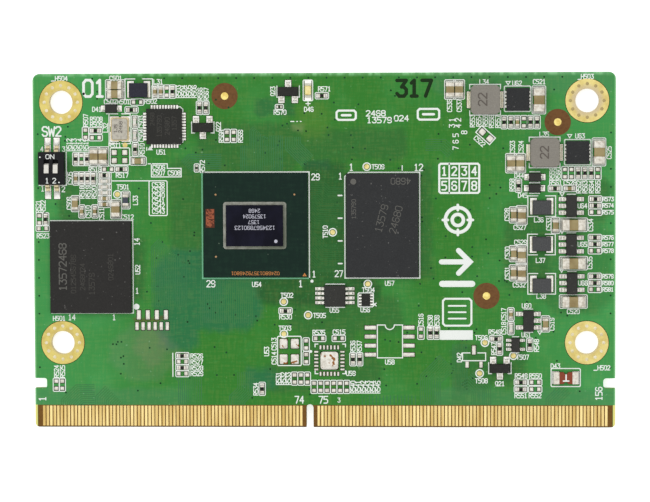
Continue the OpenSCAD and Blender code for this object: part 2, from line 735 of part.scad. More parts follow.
module memory_package() color([0.17, 0.18, 0.19])
    on_top(memory_at, ball_h)
        difference() {
            eased_block([memory_w, memory_d, memory_t], top_cut);
            translate([-memory_w / 2 + dimple_inset[0], memory_d / 2 - dimple_inset[1], memory_t - dimple_t])
                cylinder(h = over, d = dimple_d);
        }

// Two banks of columns and two banks of rows, with the middle left free
module memory_balls() color([0.75, 0.76, 0.77])
    on_top(memory_at)
        for (sx = [-1, 1], sy = [-1, 1], i = [0 : memory_half[0] - 1], j = [0 : memory_half[1] - 1])
            translate([sx * (i + (memory_split[0] + 1) / 2) * memory_ball_px,
                sy * (j + (memory_split[1] + 1) / 2) * memory_ball_py, 0]) ball();

module storage_package() color([0.2, 0.17, 0.15])
    on_top(storage_at, ball_h) eased_block([storage_w, storage_d, storage_t], top_cut);

// Outer rings of balls, an inner square of them and one index ball
module storage_balls() color([0.75, 0.76, 0.77])
    on_top(storage_at)
        for (x = [0 : storage_n - 1], y = [0 : storage_n - 1])
            if (on_ring(x, storage_n, storage_ring) || on_ring(y, storage_n, storage_ring)
                || from_middle(x, y, storage_n) == (storage_core - 1) / 2
                || (x == storage_ring && y == storage_ring))
                translate([(x - (storage_n - 1) / 2) * storage_ball_pitch,
                    (y - (storage_n - 1) / 2) * storage_ball_pitch, 0]) ball();

module controller_body() color([0.15, 0.15, 0.16])
    on_top(controller_at, land_t) leadless_body(qfn40);

module controller_leads() color([0.78, 0.78, 0.76])
    on_top(controller_at, land_t) leadless_leads(qfn40);

function switch_pack() = [switch_d, switch_w, switch_h, switch_lead[0], switch_lead[1], switch_lead[2],
    switch_lead[3]];
function switch_pins() = [[-slider_pitch / 2, slider_pitch / 2], [-slider_pitch / 2, slider_pitch / 2]];
function flange_l() = knob_l + 2 * slider_flange;

// Room for one slider: a wide channel below, a narrow window above
module slider_room() {
    translate([-flange_l() / 2 - slider_gap, -knob_w / 2 - slider_flange - slider_gap, slider_floor])
        cube([flange_l() + slider_travel + 2 * slider_gap, knob_w + 2 * (slider_flange + slider_gap),
            flange_h + 2 * slider_gap]);
    translate([-knob_l / 2 - slider_gap, -knob_w / 2 - slider_gap, slider_floor])
        cube([knob_l + slider_travel + 2 * slider_gap, knob_w + 2 * slider_gap, switch_h + over]);
}

module at_slider(side)
    on_top(switch_at, land_t + switch_lift) translate([slider_rest, side * slider_pitch / 2, 0]) children();

module switch_housing() color([0.12, 0.12, 0.13])
    difference() {
        on_top(switch_at, land_t + switch_lift)
            moulded(switch_d, switch_w, switch_h, switch_h / 2 - lead_t, lead_t);
        for (side = [-1, 1]) at_slider(side) slider_room();
    }

module slider() {
    translate([0, 0, slider_floor + slider_gap])
        block([flange_l(), knob_w + 2 * slider_flange, flange_h]);
    along_y(knob_w)
        polygon([
            [-knob_l / 2, slider_floor + slider_gap], [knob_l / 2, slider_floor + slider_gap],
            [knob_l / 2, switch_h + knob_h - knob_step], [0, switch_h + knob_h - knob_step],
            [-knob_step, switch_h + knob_h], [-knob_l / 2, switch_h + knob_h]
        ]);
}

module switch_slider_1() color([0.93, 0.93, 0.9]) at_slider(1) slider();

module switch_slider_2() color([0.93, 0.93, 0.9]) at_slider(-1) slider();

module switch_leads() color([0.82, 0.76, 0.6])
    on_top(switch_at, land_t)
        for (s = [0, 1])
            for (y = switch_pins()[s])
                translate([(2 * s - 1) * switch_d / 2, y, 0])
                    rotate(s == 1 ? 0 : 180) gull(switch_lead[0], switch_lift + switch_h / 2, switch_lead[1]);

module crystal_base() color([0.75, 0.68, 0.5])
    on_top(crystal_at, land_t) round_plate(crystal_base_s, crystal_r);

module crystal_lid() color([0.66, 0.67, 0.68])
    on_top(crystal_at, land_t + crystal_base_s[2]) round_plate(crystal_lid_s, crystal_r);

module power_inductor_bodies() color([0.42, 0.43, 0.44])
    for (p = coil_at)
        on_top(p, land_t + coil_clip[0])
            intersection() {
                eased_block([coil_w, coil_d, coil_h], top_cut);
                linear_extrude(coil_h + over)
                    polygon([
                        [-coil_w / 2, -coil_d / 2 + coil_cut], [-coil_w / 2 + coil_cut, -coil_d / 2],
                        [coil_w / 2 - coil_cut, -coil_d / 2], [coil_w / 2, -coil_d / 2 + coil_cut],
                        [coil_w / 2, coil_d / 2 - coil_cut], [coil_w / 2 - coil_cut, coil_d / 2],
                        [-coil_w / 2 + coil_cut, coil_d / 2], [-coil_w / 2, coil_d / 2 - coil_cut]
                    ]);
            }

module power_inductor_terminals() color([0.8, 0.78, 0.68])
    for (p = coil_at) on_top(p, land_t) clips(coil_w, coil_clip);

module at_choke(p, lift) on_top([p[0], p[1] + p[2]], lift) children();

module small_inductor_bodies() color([0.2, 0.2, 0.22])
    for (p = choke_at) at_choke(p, land_t + choke_clip[0]) eased_block([choke_w, choke_d, choke_h], top_cut);

module small_inductor_terminals() color([0.8, 0.81, 0.8])
    for (p = choke_at) at_choke(p, land_t) clips(choke_w, choke_clip);

module converter_bodies() color([0.14, 0.14, 0.15])
    for (p = converter_at) on_top(p, land_t) leadless_body(dfn10);

module converter_leads() color([0.78, 0.78, 0.76])
    for (p = converter_at) on_top(p, land_t) leadless_leads(dfn10);

module regulator_bodies() color([0.13, 0.13, 0.14])
    for (p = regulator_at) on_top(p, land_t) leaded_body(sot5);

module regulator_leads() color([0.8, 0.81, 0.8])
    for (p = regulator_at) on_top(p, land_t) leaded_leads(sot5, sot5_pins);

module gate_body() color([0.13, 0.13, 0.14]) on_top(gate_at, land_t) leaded_body(sc5);

module gate_leads() color([0.8, 0.81, 0.8]) on_top(gate_at, land_t) leaded_leads(sc5, sc5_pins);

module transistor_bodies() color([0.13, 0.13, 0.14])
    for (p = transistor_at) on_top(p, land_t) leaded_body(sot3);

module transistor_leads() color([0.8, 0.81, 0.8])
    for (p = transistor_at) on_top(p, land_t) leaded_leads(sot3, sot3_pins);

module driver_body() color([0.13, 0.13, 0.14]) on_top(driver_at, land_t) leaded_body(msop8);

module driver_leads() color([0.8, 0.81, 0.8]) on_top(driver_at, land_t) leaded_leads(msop8, msop8_pins);

module sensor_body() color([0.13, 0.13, 0.14]) on_top(sensor_at, land_t) leadless_body(dfn8);

module sensor_leads() color([0.78, 0.78, 0.76]) on_top(sensor_at, land_t) leadless_leads(dfn8);

module diode_bodies() color([0.14, 0.14, 0.15])
    for (p = diode_at) on_top(p, land_t) leaded_body(sod2);

module diode_leads() color([0.8, 0.81, 0.8])
    for (p = diode_at) on_top(p, land_t) leaded_leads(sod2, sod2_pins);

module led_base() color([0.9, 0.89, 0.84]) on_top(led_at, land_t) block(led_base_s);

module led_lens() color([0.8, 0.7, 0.2])
    on_top(led_at, land_t + led_base_s[2]) eased_block(led_lens_s, top_cut);

module fuse_nicks()
    for (s = [-1, 1])
        translate([0, s * fuse_c[1] / 2, -over]) cylinder(h = fuse_c[2] + 2 * over, r = fuse_nick_r);

module fuse_body() color([0.5, 0.2, 0.14])
    on_top(fuse_at, land_t)
        difference() {
            chip_core(fuse_c);
            fuse_nicks();
        }

module fuse_terminals() color([0.85, 0.86, 0.84]) on_top(fuse_at, land_t) chip_caps(fuse_c);

module bead_body() color([0.25, 0.26, 0.29]) on_top(bead_at, land_t) chip_core(bead_c);

module bead_terminals() color([0.82, 0.82, 0.8]) on_top(bead_at, land_t) chip_caps(bead_c);

module large_capacitor_bodies() color([0.62, 0.47, 0.33])
    for (p = large_at) on_top(p, land_t) chip_core(c1206);

module large_capacitor_terminals() color([0.82, 0.82, 0.8])
    for (p = large_at) on_top(p, land_t) chip_caps(c1206);

module medium_capacitor_bodies() color([0.62, 0.47, 0.33]) {
    for (p = mid_at) on_top(p, land_t) chip_core(c0603);
    wide_chips(land_t) chip_core(c0805);
}

module medium_capacitor_terminals() color([0.82, 0.82, 0.8]) {
    for (p = mid_at) on_top(p, land_t) chip_caps(c0603);
    wide_chips(land_t) chip_caps(c0805);
}

module small_capacitor_bodies() color([0.6, 0.46, 0.33]) small_chips("C", land_t) chip_core(c0402);

module small_capacitor_terminals() color([0.82, 0.82, 0.8]) small_chips("C", land_t) chip_caps(c0402);

module resistor_bodies() color([0.1, 0.1, 0.1]) {
    small_chips("R", land_t) chip_core(r0402);
    for (p = tiny_at) on_top(p, land_t) chip_core(c0201);
}

module resistor_terminals() color([0.82, 0.82, 0.8]) {
    small_chips("R", land_t) chip_caps(r0402);
    for (p = tiny_at) on_top(p, land_t) chip_caps(c0201);
}

module decoupling_capacitor_bodies() color([0.6, 0.46, 0.33]) under_chips(land_t) chip_core(c0402);

module decoupling_capacitor_terminals() color([0.82, 0.82, 0.8]) under_chips(land_t) chip_caps(c0402);

circuit_board();
mounting_hole_plating();
contacts_top();
contacts_bottom();
fiducial_dots();
test_points();
component_lands();
bare_pads();
processor_substrate();
processor_resin();
processor_die();
processor_balls();
memory_package();
memory_balls();
storage_package();
storage_balls();
controller_body();
controller_leads();
switch_housing();
switch_leads();
switch_slider_1();
switch_slider_2();
crystal_base();
crystal_lid();
power_inductor_bodies();
power_inductor_terminals();
small_inductor_bodies();
small_inductor_terminals();
converter_bodies();
converter_leads();
regulator_bodies();
regulator_leads();
gate_body();
gate_leads();
transistor_bodies();
transistor_leads();
driver_body();
driver_leads();
sensor_body();
sensor_leads();
diode_bodies();
diode_leads();
led_base();
led_lens();
fuse_body();
fuse_terminals();
bead_body();
bead_terminals();
large_capacitor_bodies();
large_capacitor_terminals();
medium_capacitor_bodies();
medium_capacitor_terminals();
small_capacitor_bodies();
small_capacitor_terminals();
resistor_bodies();
resistor_terminals();
decoupling_capacitor_bodies();
decoupling_capacitor_terminals();
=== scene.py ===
import json
import math

import bmesh
import bpy
import numpy as np
from mathutils import Matrix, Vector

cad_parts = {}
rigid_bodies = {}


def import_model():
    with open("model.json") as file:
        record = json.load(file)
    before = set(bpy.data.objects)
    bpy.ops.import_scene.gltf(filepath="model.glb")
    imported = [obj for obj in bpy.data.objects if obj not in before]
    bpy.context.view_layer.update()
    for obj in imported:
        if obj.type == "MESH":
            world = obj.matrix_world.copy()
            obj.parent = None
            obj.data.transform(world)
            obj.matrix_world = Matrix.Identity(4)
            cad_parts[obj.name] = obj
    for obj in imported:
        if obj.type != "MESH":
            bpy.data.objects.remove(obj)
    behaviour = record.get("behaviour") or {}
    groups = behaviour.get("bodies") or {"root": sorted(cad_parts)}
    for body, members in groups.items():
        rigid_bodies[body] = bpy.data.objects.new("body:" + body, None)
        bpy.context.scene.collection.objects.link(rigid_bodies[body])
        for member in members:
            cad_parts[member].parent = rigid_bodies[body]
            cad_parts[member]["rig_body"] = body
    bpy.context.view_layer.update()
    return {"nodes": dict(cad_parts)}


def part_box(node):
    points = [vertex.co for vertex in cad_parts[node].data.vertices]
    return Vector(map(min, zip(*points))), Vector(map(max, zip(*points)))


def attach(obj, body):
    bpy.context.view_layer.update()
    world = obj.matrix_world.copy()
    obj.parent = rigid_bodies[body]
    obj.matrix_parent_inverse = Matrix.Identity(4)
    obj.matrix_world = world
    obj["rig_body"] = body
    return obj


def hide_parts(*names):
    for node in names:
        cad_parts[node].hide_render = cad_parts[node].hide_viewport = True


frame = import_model()
perMetre = 1000.0  # shapes are worked out in millimetres
sunkBy = 0.004  # thin layers reach this far into what carries them
boardLow, boardHigh = (np.array(corner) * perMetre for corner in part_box("circuit_board"))
topZ = boardHigh[2]
print("frame loaded, board top at", round(topZ, 3), "mm")


# Reading the CAD frame

def weld(node):
    # corner points of a node without doubles, and its triangles by point number
    mesh = frame["nodes"][node].data
    mesh.calc_loop_triangles()
    points = np.empty(len(mesh.vertices) * 3)
    mesh.vertices.foreach_get("co", points)
    corners = np.empty(len(mesh.loop_triangles) * 3, np.int32)
    mesh.loop_triangles.foreach_get("vertices", corners)
    perStep = 1e7  # points closer than a tenth of a micrometre are one
    steps = np.round(points.reshape(-1, 3) * perStep).astype(np.int64)
    kept, number = np.unique(steps, axis=0, return_inverse=True)
    return kept / perStep * perMetre, number.reshape(-1)[corners].reshape(-1, 3)


def looseParts(points, triangles):
    # each point takes the lowest number it can reach over the triangles
    label = np.arange(len(points))
    while True:
        lowest = label.copy()
        np.minimum.at(lowest, triangles.ravel(), np.repeat(label[triangles].min(axis=1), 3))
        lowest = lowest[lowest]
        if (lowest == label).all():
            return np.unique(label, return_inverse=True)[1].reshape(-1)
        label = lowest


def boxes(*nodes):
    # lowest and highest corner of every loose part of these nodes
    lows, highs = [], []
    for node in nodes:
        points, triangles = weld(node)
        group = looseParts(points, triangles)
        low = np.full((group.max() + 1, 3), np.inf)
        high = -low
        np.minimum.at(low, group, points)
        np.maximum.at(high, group, points)
        lows.append(low)
        highs.append(high)
    return np.concatenate(lows), np.concatenate(highs)


# Surfaces from rings of points

def loft(rings, closed=False):
    # rings: pieces x rings x points x 3. Quads join each ring to the next, and end rings are capped
    count = rings.shape[:3]
    number = np.arange(np.prod(count)).reshape(count)
    here = number if closed else number[:, :-1]
    there = np.roll(number, -1, axis=1) if closed else number[:, 1:]
    quads = np.stack([here, np.roll(here, -1, 2), np.roll(there, -1, 2), there], -1).reshape(-1, 4)
    caps = [] if closed else [number[:, 0, ::-1], number[:, -1]]
    return rings.reshape(-1, 3), [quads, *caps]


def roundedRing(halfX, halfY, radius, steps=3):
    # quarter circles about the four corner centres, anticlockwise
    corner = np.repeat(np.arange(4), steps)
    angle = corner * np.pi / 2 + np.tile(np.linspace(0, np.pi / 2, steps), 4)
    signX = np.where((corner == 0) | (corner == 3), 1, -1)
    signY = np.where(corner < 2, 1, -1)
    x = signX * (halfX - radius)[..., None] + radius[..., None] * np.cos(angle)
    y = signY * (halfY - radius)[..., None] + radius[..., None] * np.sin(angle)
    return x, y


def easedBoxes(low, high, ease):
    # boxes with round edges: rings climb the wall and draw in by a quarter circle at each end
    turn = np.array([0, 0.5, 1]) * np.pi / 2
    inset = np.concatenate([1 - np.sin(turn[:2]), [0, 0], 1 - np.cos(turn[1:])]) * ease
    climb = np.concatenate([1 - np.cos(turn[:2]), [1, -1], np.sin(turn[1:]) - 1]) * ease
    half = (high - low) / 2
    x, y = roundedRing(half[:, :1] - inset, half[:, 1:2] - inset, np.full((len(low), len(inset)), ease))
    z = np.where(climb >= 0, low[:, 2:], high[:, 2:]) + climb
    z[:, 3:] = high[:, 2:] + climb[3:]
    middle = (low + high) / 2
    x, y = x + middle[:, :1, None], y + middle[:, 1:2, None]
    return loft(np.stack([x, y, np.broadcast_to(z[..., None], x.shape)], -1))


def discs(places, radius, low, high, points=10):
    # low round plates, drawn in a little at the top
    angle = np.linspace(0, 2 * np.pi, points, endpoint=False)
    ring = np.stack([np.cos(angle), np.sin(angle)], -1) * radius
    plan = np.asarray(places, float)[:, None, None, :2] + ring * np.array([1, 1, 0.8])[:, None, None]
    z = np.array([low, low + (high - low) * 0.6, high])[:, None, None]
    return loft(np.concatenate([plan, np.broadcast_to(z, (*plan.shape[:3], 1))], -1))


def ribbon(path, width, low, high, closed=False):
    # a flat band along a path: mitred at the bends, half round at open ends, top a little narrower
    path = np.asarray(path, float)
    run = np.roll(path, -1, 0) - path if closed else np.diff(path, axis=0)
    run /= np.linalg.norm(run, axis=1)[:, None]
    before = np.roll(run, 1, 0) if closed else np.vstack([run[:1], run])
    after = run if closed else np.vstack([run, run[-1:]])
    mitre = (before + after) / np.maximum(1 + (before * after).sum(1), 0.5)[:, None]
    side = np.stack([-mitre[:, 1], mitre[:, 0]], 1) * width / 2
    if not closed:
        bend = np.radians([20, 55])[:, None]
        firstEnd = path[0] - run[0] * np.cos(bend) * width / 2
        lastEnd = path[-1] + run[-1] * np.cos(bend[::-1]) * width / 2
        path = np.vstack([firstEnd, path, lastEnd])
        side = np.vstack([side[0] * np.sin(bend), side, side[-1] * np.sin(bend[::-1])])
    across = np.array([-1, 1, 0.9, -0.9])[:, None]
    plan = path[:, None] - side[:, None] * across
    z = np.broadcast_to(np.array([low, low, high, high])[:, None], (*plan.shape[:2], 1))
    return loft(np.concatenate([plan, z], -1)[None], closed)


def boxPath(x0, y0, x1, y1, cut=0.12):
    # a rectangle with cut corners, anticlockwise
    return [(x0 + cut, y0), (x1 - cut, y0), (x1, y0 + cut), (x1, y1 - cut),
            (x1 - cut, y1), (x0 + cut, y1), (x0, y1 - cut), (x0, y0 + cut)]


def ringPath(x, y, radius, points=20):
    # a circle as a closed path
    angle = np.linspace(0, 2 * np.pi, points, endpoint=False)
    return np.stack([x + radius * np.cos(angle), y + radius * np.sin(angle)], -1)


# Making objects

def meshFrom(name, solids):
    # joins lists of points and faces into one mesh, with faces turned outwards
    points = np.concatenate([solid[0] for solid in solids]) / perMetre
    start = np.cumsum([0] + [len(solid[0]) for solid in solids])
    faces = [group + offset for (_, groups), offset in zip(solids, start) for group in groups]
    loops = np.concatenate([group.ravel() for group in faces])
    sizes = np.concatenate([np.full(len(group), group.shape[1]) for group in faces])
    mesh = bpy.data.meshes.new(name)
    mesh.vertices.add(len(points))
    mesh.vertices.foreach_set("co", points.astype(np.float32).ravel())
    mesh.loops.add(len(loops))
    mesh.loops.foreach_set("vertex_index", loops.astype(np.int32))
    mesh.polygons.add(len(sizes))
    mesh.polygons.foreach_set("loop_start", np.concatenate([[0], np.cumsum(sizes)[:-1]]).astype(np.int32))
    mesh.update(calc_edges=True)
    work = bmesh.new()
    work.from_mesh(mesh)
    bmesh.ops.recalc_face_normals(work, faces=work.faces)
    work.to_mesh(mesh)
    work.free()
    return mesh


def addPiece(name, solids, finish, smooth=40, replaces=()):
    # every new piece lies still on the module
    mesh = meshFrom(name, solids)
    mesh.shade_smooth()
    mesh.set_sharp_from_angle(angle=math.radians(smooth))
    mesh.materials.append(finish)
    piece = bpy.data.objects.new(name, mesh)
    bpy.context.scene.collection.objects.link(piece)
    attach(piece, "module")
    if replaces:
        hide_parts(*replaces)


def easedCopy(node, ease, finish):
    # a welded copy of a CAD node whose edges a bevel makes round
    points, triangles = weld(node)
    mesh = bpy.data.meshes.new(node + "_eased")
    mesh.from_pydata((points / perMetre).tolist(), [], triangles.tolist())
    work = bmesh.new()
    work.from_mesh(mesh)
    bmesh.ops.dissolve_limit(work, angle_limit=math.radians(1), verts=work.verts, edges=work.edges)
    work.to_mesh(mesh)
    work.free()
    mesh.shade_smooth()
    mesh.materials.append(finish)
    piece = bpy.data.objects.new(node + "_eased", mesh)
    bpy.context.scene.collection.objects.link(piece)
    bevel = piece.modifiers.new("roundEdges", "BEVEL")
    bevel.width = ease / perMetre
    bevel.segments = 2
    bevel.limit_method = "ANGLE"
    bevel.angle_limit = math.radians(28)
    bevel.harden_normals = True
    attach(piece, frame["nodes"][node]["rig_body"])
    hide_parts(node)


def dress(finish, *nodes):
    # the CAD nodes keep their shape and get this finish
    for node in nodes:
        slots = frame["nodes"][node].data.materials
        slots.clear()
        slots.append(finish)


# Shader graphs

class Wire:
    # one value in a shader graph: arithmetic on it adds Math nodes
    def __init__(self, graph, socket):
        self.graph = graph
        self.socket = socket

    def math(self, operation, *values):
        return self.graph.node("Math", {"operation": operation}, dict(enumerate(values)))

    def __add__(self, other):
        return self.math("ADD", self, other)

    def __radd__(self, other):
        return self.math("ADD", other, self)

    def __sub__(self, other):
        return self.math("SUBTRACT", self, other)

    def __rsub__(self, other):
        return self.math("SUBTRACT", other, self)

    def __mul__(self, other):
        return self.math("MULTIPLY", self, other)

    def __rmul__(self, other):
        return self.math("MULTIPLY", other, self)

    def __gt__(self, other):
        return self.math("GREATER_THAN", self, other)

    def __lt__(self, other):
        return self.math("LESS_THAN", self, other)

    def __abs__(self):
        return self.math("ABSOLUTE", self)

    def larger(self, other):
        return self.math("MAXIMUM", self, other)

    def root(self):
        return self.math("SQRT", self)

    def ramp(self, low, high):
        # 0 below low, 1 above high, smooth between
        settings = {"interpolation_type": "SMOOTHSTEP"}
        return self.graph.node("MapRange", settings, {"Value": self, "From Min": low, "From Max": high})


sheen = 0.1  # share of mirror light on everything that isn't metal


class Finish:
    # one material: its graph is built with node(), and surface() closes it
    def __init__(self, name):
        self.material = bpy.data.materials.new(name)
        self.material.use_nodes = True
        self.tree = self.material.node_tree
        self.tree.nodes.clear()
        place = self.node("TexCoord", {}, {}, "Object")
        self.place = self.node("VectorMath", {"operation": "SCALE"}, {0: place, "Scale": perMetre})

    def node(self, kind, settings=None, sockets=None, out=0):
        made = self.tree.nodes.new("ShaderNode" + kind)
        for key, value in (settings or {}).items():
            setattr(made, key, value)
        for key, value in (sockets or {}).items():
            if isinstance(value, Wire):
                self.tree.links.new(value.socket, made.inputs[key])
            else:
                made.inputs[key].default_value = value
        return Wire(self, made.outputs[out]) if made.outputs else None

    def axes(self):
        return [self.node("SeparateXYZ", {}, {0: self.place}, axis) for axis in "XYZ"]

    def facing(self):
        # upward part of the surface's own direction
        normal = self.node("NewGeometry", {}, {}, "Normal")
        return self.node("SeparateXYZ", {}, {0: normal}, "Z")

    def noise(self, scale, detail=2.0, stretch=(1, 1, 1)):
        spread = self.node("VectorMath", {"operation": "MULTIPLY"}, {0: self.place, 1: stretch})
        return self.node("TexNoise", {}, {"Vector": spread, "Scale": scale, "Detail": detail}, "Fac")

    def mix(self, factor, first, second):
        return self.node("Mix", {"data_type": "RGBA"}, {0: factor, 6: first, 7: second}, 2)

    def bump(self, height, distance, strength=1.0):
        sockets = {"Height": height, "Distance": distance / perMetre, "Strength": strength}
        return self.node("Bump", {}, sockets)

    def surface(self, sockets):
        shader = self.node("BsdfPrincipled", {}, {"Specular IOR Level": sheen, **sockets})
        self.node("OutputMaterial", {}, {"Surface": shader})
        return self.material


def tone(red, green, blue):
    # a screen colour, 0 to 255, as light
    share = np.array([red, green, blue]) / 255
    light = np.where(share <= 0.04045, share / 12.92, ((share + 0.055) / 1.055) ** 2.4)
    return (*light.tolist(), 1.0)


# Finishes

maskLook = {
    "overCopper": tone(47, 120, 38),
    "bright": tone(67, 154, 82),
    "laminate": tone(116, 82, 36),
    "bareDisc": tone(112, 78, 46),
    "rim": tone(226, 218, 128),
    "paleSide": tone(146, 206, 148),
    "edge": tone(148, 168, 96),
    "edgeLines": tone(118, 144, 76),
    "bareEdge": tone(156, 134, 80),
    "bareEdgeLines": tone(118, 94, 50),
    "fleck": tone(150, 190, 150),
    "bareShade": tone(70, 42, 24),
    # colour, strength, blur and places of other copper below, and of painted shade round some parts: middle,
    # half sizes and corner cut
    "zones": [
        # copper below, and painted shade between the parts at the left end and by the parts on the right
        (tone(46, 103, 44), 0.75, 0.7, [
            (-10.5, 14.6, 7.5, 3.4, 1.5), (0, 15, 12, 2.2, 1), (-19.3, 4, 2.4, 9, 1),
            (-26.6, -2.5, 1.3, 4.5, 0.4), (13.9, 4, 1.4, 8, 0.5), (28.5, 0.5, 3.2, 6, 1), (37, 7, 3.5, 3, 1),
            (-34, 8.5, 3.5, 4.5, 1), (5, -17.3, 3, 2.5, 1), (0.5, -13, 4, 4, 1), (-5.2, -18, 3, 2, 0.5),
            (25.5, -15.5, 3, 3.5, 1), (20.6, -16.6, 2.5, 3.6, 1.2), (3, -9, 8, 2.5, 1)]),
        # painted shade round the regulators on the right
        (tone(46, 103, 44), 0.45, 0.7, [(35.5, -2.5, 5, 6.5, 2)]),
        (tone(36, 108, 66), 0.85, 0.7, [
            (-16.2, -5.6, 7.6, 5.8, 2.4), (-20.6, -11.6, 2.8, 2.6, 1), (-9, -18.2, 2.2, 1.5, 0.6)]),
        (tone(34, 86, 36), 0.85, 0.7, [
            (0.3, 4, 2.9, 8.6, 0.5), (1.5, -5.8, 6.5, 1.9, 1), (-5.5, -5.6, 4, 2, 1)]),
        (tone(36, 92, 54), 0.55, 0.5, [(-6.7, 20.2, 2.8, 1.2, 0.3), (-0.8, 12.1, 1.8, 0.6, 0.2)]),
        (tone(76, 126, 40), 0.55, 0.9, [(-1.4, 18.4, 2.4, 2.6, 1.2)]),
        (tone(136, 146, 104), 0.35, 0.6, [(-3.6, 17.3, 0.7, 0.5, 0.3)]),
        (tone(70, 130, 82), 0.5, 0.7, [
            (-30.5, -20.9, 11, 1.4, 0.3), (28.5, -20.9, 13, 1.4, 0.3), (28, 23.6, 13, 1.6, 1)]),
        (tone(120, 132, 112), 0.18, 0.7, [(-25.5, -14.5, 5, 4, 3)]),
        (tone(160, 126, 122), 0.12, 0.7, [(-24.4, -13.4, 2.4, 3, 2)]),
        (tone(92, 70, 38), 0.6, 0.25, [(-24.5, -9.75, 2.3, 0.25, 0.1)]),
    ],
    "wander": 1.6,
    "openDepth": 0.01,
    "bevel": tone(80, 60, 36),
    "backRim": 0.62,
}


def areas(x, y, places, blur):
    # 1 inside any of the rectangles with cut corners
    inside = 0.0
    for middleX, middleY, halfX, halfY, cut in places:
        fromX, fromY = abs(x - middleX), abs(y - middleY)
        outside = (fromX - halfX).larger(fromY - halfY)
        outside = outside.larger((fromX + fromY - (halfX + halfY - cut)) * 0.7)
        inside = (1 - outside.ramp(-blur, blur)).larger(inside)
    return inside


def boardFinish(openBand):
    look = maskLook
    f = Finish("solder_mask_green")
    x, y, z = f.axes()
    up = f.facing()
    nearX = x + (f.noise(0.7, 3) - 0.5) * look["wander"]
    nearY = y + (f.noise(0.6, 3) - 0.5) * look["wander"]
    cloud = f.noise(0.13, 3)
    ends = (abs(x) - 18).ramp(0, 22) * 0.7 + (cloud.ramp(0.45, 0.75) * 0.3)
    green = f.mix(ends, look["overCopper"], look["bright"])
    # the zones lay in copper below and painted shade round parts
    for colour, strength, blur, places in look["zones"]:
        green = f.mix(areas(nearX, nearY, places, blur) * strength, green, colour)
    weave = f.noise(3.4, 1, (1, 0.12, 1)) * f.noise(3.4, 1, (0.12, 1, 1))
    green = f.mix(weave.ramp(0.2, 0.38) * 0.03, green, look["rim"])
    mottle = f.noise(2.2, 4)
    green = f.mix(mottle.ramp(0.5, 0.8) * 0.22, green, look["bright"])
    green = f.mix(f.noise(1.9, 2).ramp(0.72, 0.76) * 0.3, green, look["fleck"])
    # sunk faces are bare laminate: the contact band, and the discs round the alignment dots
    sunk = (z < topZ - look["openDepth"]) * (up > 0.5)
    bareColour = f.mix(y < openBand, look["bareDisc"], look["laminate"])
    bareColour = f.mix(f.noise(3.2, 3).ramp(0.4, 0.7) * 0.3, bareColour, look["bareShade"])
    bareColour = f.mix(up < 0.98, bareColour, look["bevel"])
    side = (abs(x) - (boardHigh[0] - 0.3)).ramp(0, 0.3) * 0.75
    # light caught by the mask where it thins out along the back edge, in patches
    patches = 0.3 + f.noise(1.1, 2, (1, 0.3, 1)).ramp(0.42, 0.66) * 0.6
    back = (y - (boardHigh[1] - look["backRim"])).ramp(0, look["backRim"]) * patches
    green = f.mix(side.larger(back), green, look["paleSide"])
    green = f.mix((abs(x) - (boardHigh[0] - 0.34)).ramp(0, 0.06) * (y < openBand), green, look["rim"])
    face = f.mix(sunk, green, bareColour)
    # glass layers show as fine lines along the cut edge, which is browner where no mask wraps it
    layers = f.noise(5.0, 3, (0.03, 0.03, 3.0)).ramp(0.35, 0.68)
    wall = f.mix(layers, look["edge"], look["edgeLines"])
    wall = f.mix(y < openBand, wall, f.mix(layers, look["bareEdge"], look["bareEdgeLines"]))
    colour = f.mix(abs(up) < 0.5, face, wall)
    rough = 0.36 + mottle * 0.14 + sunk * 0.25 + (abs(up) < 0.5) * 0.25
    relief = f.bump(f.noise(1.6, 4) + weave * 0.5, 0.02, 0.3)
    return f.surface({"Base Color": colour, "Roughness": rough, "Normal": relief})


def traceFinish():
    f = Finish("mask_over_traces")
    x, y, z = f.axes()
    cloud = f.noise(0.25, 3)
    colour = f.mix(cloud.ramp(0.35, 0.65), tone(62, 122, 64), tone(56, 116, 74))
    # darker between the processor and the memory
    colour = f.mix(areas(x, y, [(0.3, 4, 2.9, 8.6, 0.5)], 0.3), colour, tone(46, 104, 50))
    return f.surface({"Base Color": colour, "Roughness": 0.36 + f.noise(5, 2) * 0.1})


def viaFinish():
    f = Finish("tented_via")
    colour = f.mix(f.noise(0.8, 2).ramp(0.4, 0.6), tone(14, 56, 26), tone(20, 70, 40))
    return f.surface({"Base Color": colour, "Roughness": 0.4 + f.noise(4, 2) * 0.2})


def windowFinish():
    f = Finish("mask_window_edge")
    colour = f.mix(f.noise(0.6, 2).ramp(0.4, 0.65), tone(20, 52, 20), tone(52, 46, 18))
    return f.surface({"Base Color": colour, "Roughness": 0.5 + f.noise(5, 2) * 0.2})


def inkFinish(name, solid, worn):
    f = Finish(name)
    wear = f.noise(2.6, 4).ramp(0.58, 0.8)
    colour = f.mix(wear * 0.5, solid, worn)
    return f.surface({"Base Color": colour, "Roughness": 0.62 + wear * 0.2,
                      "Normal": f.bump(f.noise(9, 2), 0.006, 0.4)})


def goldFinish(name, bright, deep, stretch):
    f = Finish(name)
    streak = f.noise(1.4, 3, stretch)
    colour = f.mix(streak.ramp(0.34, 0.68), bright, deep)
    spots = f.noise(4.5, 4).ramp(0.66, 0.76)
    colour = f.mix(spots * 0.4, colour, tone(150, 108, 52))
    return f.surface({"Base Color": colour, "Metallic": 1.0, "Roughness": 0.34 + streak * 0.14 + spots * 0.2,
                      "Normal": f.bump(f.noise(7, 3, stretch), 0.006, 0.5)})


# places of the holes from the ends, the back edge and the contact edge, and the rubbed ring round each bore
holeLook = {"inset": 4, "rise": 12, "rubFrom": 1.7, "rubTo": 2.15}


